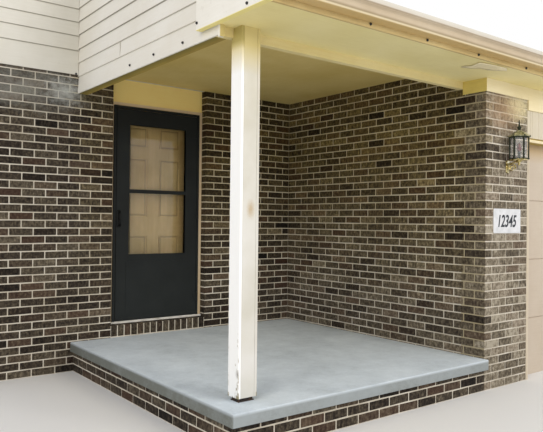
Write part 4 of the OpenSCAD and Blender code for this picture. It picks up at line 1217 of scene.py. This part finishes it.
sheet = [f for f in made if isinstance(f, bmesh.types.BMFace)]
# The faces come in no fixed order, so the back one, at the largest y, tells which way the sheet looks. It
# is turned to the street, and the metal then always grows outwards.
back = max(sheet, key=lambda f: f.calc_center_median().y)
if back.normal.y > 0:
    bmesh.ops.reverse_faces(bm, faces=sheet)
bmesh.ops.solidify(bm, geom=sheet, thickness=METAL)
bmesh.ops.recalc_face_normals(bm, faces=bm.faces[:])
# The caps leave out the last two points, which are the folded edge of the lip.
for x in (gx0, gx1 - CAP):
    extruded(bm, OGEE[:-2], x, x + CAP)
for i in range(HANGERS):
    x = gx0 + 0.2 + i * (gx1 - gx0 - 0.4) / (HANGERS - 1)
    bevelled(bm, (x - 0.013, gy0 + 0.006, gz1 - 0.0055), (x + 0.013, gy1, gz1 - 0.003), 0.0008, 1)
piece("gutter_ogee", bm, [beige_enamel], ["rain_gutter"])

# %% Fascia, deck edge and flashing
# Below the gutter a strip of fascia shows, its tan paint weathered and stained.
fascia_paint = brushed_paint("weathered_tan_paint", "#d8c38a", "#bda368", roughness=0.65, dirt=0.4)
deck_wood = mottled("weathered_plywood", [(0.35, "#6f6049"), (0.55, "#8d7b5e"), (0.7, "#a8967a")], 2.0, 6.0,
                    roughness=0.8, stretch=(2.0, 45.0, 45.0))
flash_metal = mottled("mill_finish_aluminium", [(0.35, "#8e8f8c"), (0.7, "#b4b5b1")], 8.0, 6.0,
                      roughness=0.45, metallic=1.0, gloss={"To Min": 0.3, "To Max": 0.6})
for material, name in ((fascia_paint, "fascia_board"), (deck_wood, "roof_deck"),
                       (flash_metal, "roof_flashing")):
    paint(material, name)
    print(material.name, "on", name)

# %% Clips along the eave and the side
# Small black plastic clips hold nothing now; they are domes turned on the lathe. Four sit on the
# fascia, six on the side and one on the house wall, at the places where the photo shows them.
clip_plastic = mottled("black_clip_plastic", [(0.3, "#0f0f10"), (0.7, "#1c1c1d")], 150.0, roughness=0.5)
fascia_y, eave_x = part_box("fascia_board")[0].y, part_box("eave_end")[0].x
DOME = [(0, 0.011), (0.004, 0.0105), (0.0075, 0.008), (0.009, 0.004), (0.009, 0), (0, 0)]
bm = bmesh.new()
for x in (-0.582, -0.041, 0.535, 1.161):
    turned(bm, DOME, facing_street(x, fascia_y, 2.584), sides=14)
for face_x, y, z in ((eave_x, -0.7995, 2.607), (eave_x, -1.344, 2.587), (side[0].x, 0.2645, 2.55),
                     (side[0].x, -0.1295, 2.552), (side[0].x, -0.5485, 2.546), (side[0].x, -0.8, 2.64)):
    turned(bm, DOME, Matrix.Translation((face_x, y, z)) @ Matrix.Rotation(-math.pi / 2, 4, "Y"), sides=14)
turned(bm, DOME, facing_street(-1.36, old_siding[0].y, old_siding[0].z + 0.008), sides=14)
piece("light_clips", bm, [clip_plastic])

# %% [markdown]
# ## Garage side
# Right of the pier stands the edge of the garage front: a moulded trim, painted boards over the
# opening with a moulding and its shadow gap at their foot, and the edge of a sectional door. The
# trim's cross-section is drawn once and extruded upwards, the way a moulding is run.

# %% Trim, header boards and moulding
# The door's tan top under the header is painted shade.
peach_steel = brushed_paint("peach_door_enamel", "#cdbfab", "#c3b39d", roughness=0.5, fade=UNDER_HEADER_SHADE)
casing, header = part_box("garage_casing"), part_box("garage_header")
cx0, cx1, cy0, cy1 = casing[0].x, casing[1].x, casing[0].y, casing[1].y
bm = bmesh.new()
outline = [(cx0, cy0), (cx0 + 0.012, cy0), (cx0 + 0.015, cy0 + 0.005), (cx0 + 0.019, cy0 + 0.005),
           (cx0 + 0.022, cy0), (cx0 + 0.034, cy0), (cx0 + 0.04, cy0 + 0.012), (cx0 + 0.046, cy0 + 0.014),
           (cx0 + 0.048, cy0 + 0.02), (cx1, cy0 + 0.02), (cx1, cy1), (cx0, cy1)]
# The outline is extruded along X for one metre, its axes are swapped, and its ends go to their heights.
verts = extruded(bm, outline, 0.0, 1.0)
swap = Matrix(((0, 1, 0, 0), (0, 0, 1, 0), (1, 0, 0, 0), (0, 0, 0, 1)))
bmesh.ops.transform(bm, matrix=swap, verts=verts)
for vert in verts:
    vert.co.z = casing[0].z if vert.co.z < 0.5 else casing[1].z
bmesh.ops.recalc_face_normals(bm, faces=bm.faces[:])
piece("garage_trim_moulding", bm, [garage_paint], ["garage_casing"])

header_paint = brushed_paint("cream_header_paint", "#d8cfba", "#ccc2a9", along=UPWARD)
(hx0, hy0, hz0), (hx1, hy1, hz1) = header
TOP_BOARD, MOULD_H, SHADOW, GROOVE = 0.195, 0.022, 0.013, 0.002
board_z, moulding_top = hz1 - TOP_BOARD, hz0 + MOULD_H
bm = bmesh.new()
bevelled(bm, (hx0, hy0, board_z), (hx1, hy1, hz1), 0.002, material=1)
# Upright boards stand under the top board; the first two are narrow. A dark block closes their joints and
# shows in the shadow gap over the moulding, where its dark olive adds painted shade.
x = hx0
for width in (0.05, 0.03, 0.1, 0.1, 0.1, 0.1):
    end = min(x + width, hx1)
    if end > x + GROOVE:
        bevelled(bm, (x, pier_y, moulding_top + SHADOW), (end - GROOVE, hy1, board_z), 0.004)
    x = end
block(bm, (hx0 + 0.001, pier_y + 0.012, hz0 + 0.001), (hx1 - 0.001, hy1 - 0.001, board_z), 2)
outline = [(pier_y, moulding_top), (pier_y - 0.011, hz0 + 0.019), (pier_y - 0.011, hz0 + 0.01),
           (pier_y - 0.006, hz0 + 0.006), (pier_y - 0.006, hz0), (pier_y + 0.014, hz0),
           (pier_y + 0.014, moulding_top)]
soften(bm, extruded(bm, outline, hx0, hx1, material=1), 0.001, segments=1)
piece("garage_header_boards", bm, [header_paint, frieze_wood, shaded_olive_wood], ["garage_header"])
paint(peach_steel, "garage_door_edge")

# %% [markdown]
# ## Lantern
# A six-sided coach lantern stands on a brass scroll: black cage bars, a flared brass roof painted pale
# grey-green as a painted reflection of the sky, with a black spike, a brass tray with a drop under it, and a
# candle tube with a dark amber bulb.
# Six-sided parts are spins with six steps, the round ones have many, and the scroll is a bar along a
# spiral.

# %% Cage, roof and spike
cage_black = mottled("black_cast_aluminium", [(0.35, "#12160a"), (0.6, "#252c17"), (0.75, "#3d4526")], 120.0,
                     5.0, roughness=0.6, sockets={"Specular IOR Level": 0.3}, relief=(0.4, 0.0008))
# The roof's pale grey-green stands in for the sky it reflects: a painted reflection.
reflection_brass = mottled("brass_with_painted_reflection", [(0.36, "#2c2f18"), (0.48, "#8b8a66"), (0.62, "#cbc9ab")], 26.0, 7.0, 0.7,
                 roughness=0.45, metallic=0.5, relief=(0.3, 0.0008))
old_frame, old_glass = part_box("lantern_frame"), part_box("lantern_glass")
lan = Vector(((old_glass[0].x + old_glass[1].x) / 2 - 0.007, (old_glass[0].y + old_glass[1].y) / 2,
              old_frame[0].z))
body_h = old_glass[1].z - lan.z
WIDER = Matrix.Diagonal((1.07, 1.07, 1.0, 1.0))         # sizes below are before this widening
SIDES = 6
bm = bmesh.new()


def at(z, turn=0.0):
    """A place on the lantern's axis."""
    return Matrix.Translation((lan.x, lan.y, lan.z + z)) @ Matrix.Rotation(turn, 4, "Z") @ WIDER


def flat(verts):
    """Facets stay flat on six-sided parts."""
    for face in {f for v in verts for f in v.link_faces}:
        face.smooth = False


flat(turned(bm, [(0.06, 0), (0.075, 0), (0.078, 0.004), (0.073, 0.01), (0.06, 0.01), (0.06, 0)], at(0),
            sides=SIDES))
flat(turned(bm, [(0.058, 0), (0.076, 0), (0.076, 0.008), (0.058, 0.008), (0.058, 0)], at(body_h - 0.008),
            sides=SIDES))
for i in range(SIDES):
    bevelled(bm, (0.0635, -0.0055, 0.002), (0.0745, 0.0055, body_h), 0.002,
             place=at(0, 2 * math.pi / SIDES * i))
flat(turned(bm, [(0, 0), (0.085, 0), (0.086, 0.005), (0.076, 0.012), (0.06, 0.026), (0.045, 0.037),
                 (0.026, 0.045), (0.02, 0.052), (0, 0.052)], at(body_h), sides=SIDES, material=1))
for i in range(SIDES):
    bevelled(bm, (0.079, -0.005, -0.006), (0.084, 0.005, 0.012), 0.0015,
             place=at(body_h, 2 * math.pi / SIDES * i))
turned(bm, [(0, 0), (0.014, 0), (0.016, 0.004), (0.009, 0.01), (0.008, 0.014), (0.0145, 0.02),
            (0.0165, 0.027), (0.0145, 0.034), (0.008, 0.04), (0.0055, 0.045), (0.005, 0.065), (0.003, 0.0895),
            (0, 0.0905)], at(body_h + 0.05), sides=24)
piece("lantern_cage", bm, [cage_black, reflection_brass], ["lantern_frame"])

# %% Panes, candle and bulb
# The panes are thin clear glass, so light goes straight through; a faint white veil on them, which makes them
# a little milky, is a painted sheen.
lamp_glass = mottled("sheen_veiled_lamp_glass", [(0.3, "#eef0f0"), (0.7, "#fdfdfd")], 14.0, 1.0, roughness=0.05,
                     sockets={"Alpha": 0.09})
PANE_R, HALF_T = 0.0625 * math.cos(math.pi / SIDES), 0.0015
bm = bmesh.new()
for i in range(SIDES):
    bevelled(bm, (PANE_R - HALF_T, -0.027, 0.008), (PANE_R + HALF_T, 0.027, body_h - 0.006), 0.0006,
             segments=1, place=at(0, 2 * math.pi / SIDES * (i + 0.5)))
piece("lantern_panes", bm, [lamp_glass], ["lantern_glass"])

amber_bulb = mottled("dark_amber_bulb_glass", [(0.35, "#451517"), (0.65, "#7a2c2d")], 60.0, 3.0,
                     roughness=0.12)
bm = bmesh.new()
turned(bm, [(0, 0.0), (0.018, 0.0), (0.022, 0.006), (0.012, 0.01), (0.0105, 0.014), (0.0105, 0.062),
            (0.012, 0.064), (0, 0.064)], at(0.004), sides=20, material=1)
turned(bm, [(0, 0.066), (0.009, 0.067), (0.0155, 0.078), (0.018, 0.092), (0.0165, 0.108), (0.011, 0.124),
            (0.005, 0.136), (0, 0.142)], at(0.002), sides=20)
piece("lantern_bulb", bm, [amber_bulb, cage_black])

# %% Brass tray, drop, scroll and wall plate
bm = bmesh.new()
turned(bm, [(0, -0.006), (0.05, -0.008), (0.066, -0.005), (0.071, 0.0), (0.068, 0.0), (0.06, -0.002),
            (0, -0.002)], at(0), sides=36)
turned(bm, [(0, -0.05), (0.004, -0.049), (0.008, -0.044), (0.0095, -0.038), (0.006, -0.033), (0.005, -0.03),
            (0.012, -0.024), (0.02, -0.014), (0.026, -0.006), (0, -0.006)], at(0), sides=24)
PLATE_T, HALF_W, HALF_H = 0.006, 0.026, 0.054
plate_y, wall_z = pier_y - PLATE_T, lan.z - 0.054
bevelled(bm, (lan.x - HALF_W, plate_y, wall_z - HALF_H), (lan.x + HALF_W, pier_y, wall_z + HALF_H), 0.004)
turned(bm, [(0, 0.004), (0.012, 0.0035), (0.024, 0.001), (0.026, -0.002), (0.026, -0.006), (0, -0.006)],
       facing_street(lan.x, plate_y, wall_z), sides=28)
SCROLL_R, TAPER = 0.0055, 0.00006
arm = [(lan.x, plate_y, lan.z - 0.03), (lan.x, pier_y - 0.03, lan.z - 0.028),
       (lan.x, pier_y - 0.05, lan.z - 0.022), (lan.x, pier_y - 0.072, lan.z - 0.02),
       (lan.x, pier_y - 0.092, lan.z - 0.022), (lan.x, lan.y, lan.z - 0.026)]
tube(bm, arm, SCROLL_R, sides=10)
scroll, radii = [], []
for i in range(34):
    angle = math.radians(200 - i * 17)
    reach = 0.035 * (1 - i / 46)
    scroll.append((lan.x, pier_y - 0.043 + reach * math.cos(angle), lan.z - 0.064 + reach * math.sin(angle)))
    radii.append(SCROLL_R - TAPER * i)
tube(bm, scroll, radii, sides=10)
turned(bm, [(0, 0.009), (0.005, 0.008), (0.009, 0.004), (0.0095, 0), (0.009, -0.004), (0.005, -0.008),
            (0, -0.009)], Matrix.Translation(scroll[-1]) @ Matrix.Rotation(math.pi / 2, 4, "Y"), sides=18)
piece("lantern_scroll", bm, [brass], ["lantern_bracket"])

# %% [markdown]
# ## Number plate
# A white enamelled plate with black digits that lean a little. The digits here are plain ones in
# counting order. They are a text curve, made a mesh before it is sized and put in place.

# %% Plate and screws
white_enamel = mottled("white_vitreous_enamel", [(0.3, "#cfd1d1"), (0.5, "#dcdddd"), (0.75, "#e6e7e8")], 18.0,
                       6.0, roughness=0.3)
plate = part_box("number_plate")
bm = bmesh.new()
block(bm, plate[0], plate[1])
corners = [e for e in bm.edges if abs(e.verts[0].co.y - e.verts[1].co.y) > 1e-4]
bmesh.ops.bevel(bm, geom=corners, offset=0.012, offset_type="OFFSET", affect="EDGES", segments=5, profile=0.5,
                material=-1)
front_edges = [e for e in bm.edges if all(v.co.y < plate[0].y + 1e-5 for v in e.verts)]
bmesh.ops.bevel(bm, geom=front_edges, offset=0.002, offset_type="OFFSET", affect="EDGES", segments=2,
                profile=0.5, material=-1)
IN = 0.018
for x in (plate[0].x + IN, plate[1].x - IN):
    for z in (plate[0].z + IN, plate[1].z - IN):
        turned(bm, [(0, 0.0015), (0.003, 0.0013), (0.0048, 0.0), (0.0048, -0.001), (0, -0.001)],
               facing_street(x, plate[0].y, z), sides=14)
piece("number_plate_enamel", bm, [white_enamel], ["number_plate"])

# %% Digits
digit_paint = mottled("black_sign_paint", [(0.4, "#1d2226"), (0.62, "#30363b"), (0.75, "#5d6468")], 70.0, 5.0,
                      roughness=0.5)
words = bpy.data.curves.new("digits", "FONT")
words.body = "12345"
words.shear = 0.22
words.extrude = 0.01
words.offset = 0.02
maker = bpy.data.objects.new("digits", words)
bpy.context.scene.collection.objects.link(maker)
bpy.context.view_layer.update()
mesh = bpy.data.meshes.new_from_object(maker.evaluated_get(bpy.context.evaluated_depsgraph_get()))
bpy.data.objects.remove(maker)
bm = bmesh.new()
bm.from_mesh(mesh)
bpy.data.meshes.remove(mesh)
bmesh.ops.remove_doubles(bm, verts=bm.verts[:], dist=1e-5)
low, high = (Vector([pick(v.co[i] for v in bm.verts) for i in range(3)]) for pick in (min, max))
DIGITS_W, DIGITS_H, DIGITS_T = 0.272, 0.104, 0.0014
size = high - low
lay = (facing_street((plate[0].x + plate[1].x - DIGITS_W) / 2, plate[0].y + 0.0002,
                     (plate[0].z + plate[1].z - DIGITS_H) / 2)
       @ Matrix.Diagonal((DIGITS_W / size.x, DIGITS_H / size.y, DIGITS_T / size.z, 1))
       @ Matrix.Translation((-low.x, -low.y, -low.z)))
bmesh.ops.transform(bm, matrix=lay, verts=bm.verts[:])
piece("number_plate_digits", bm, [digit_paint])

# %% The bounds of the model
low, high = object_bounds()
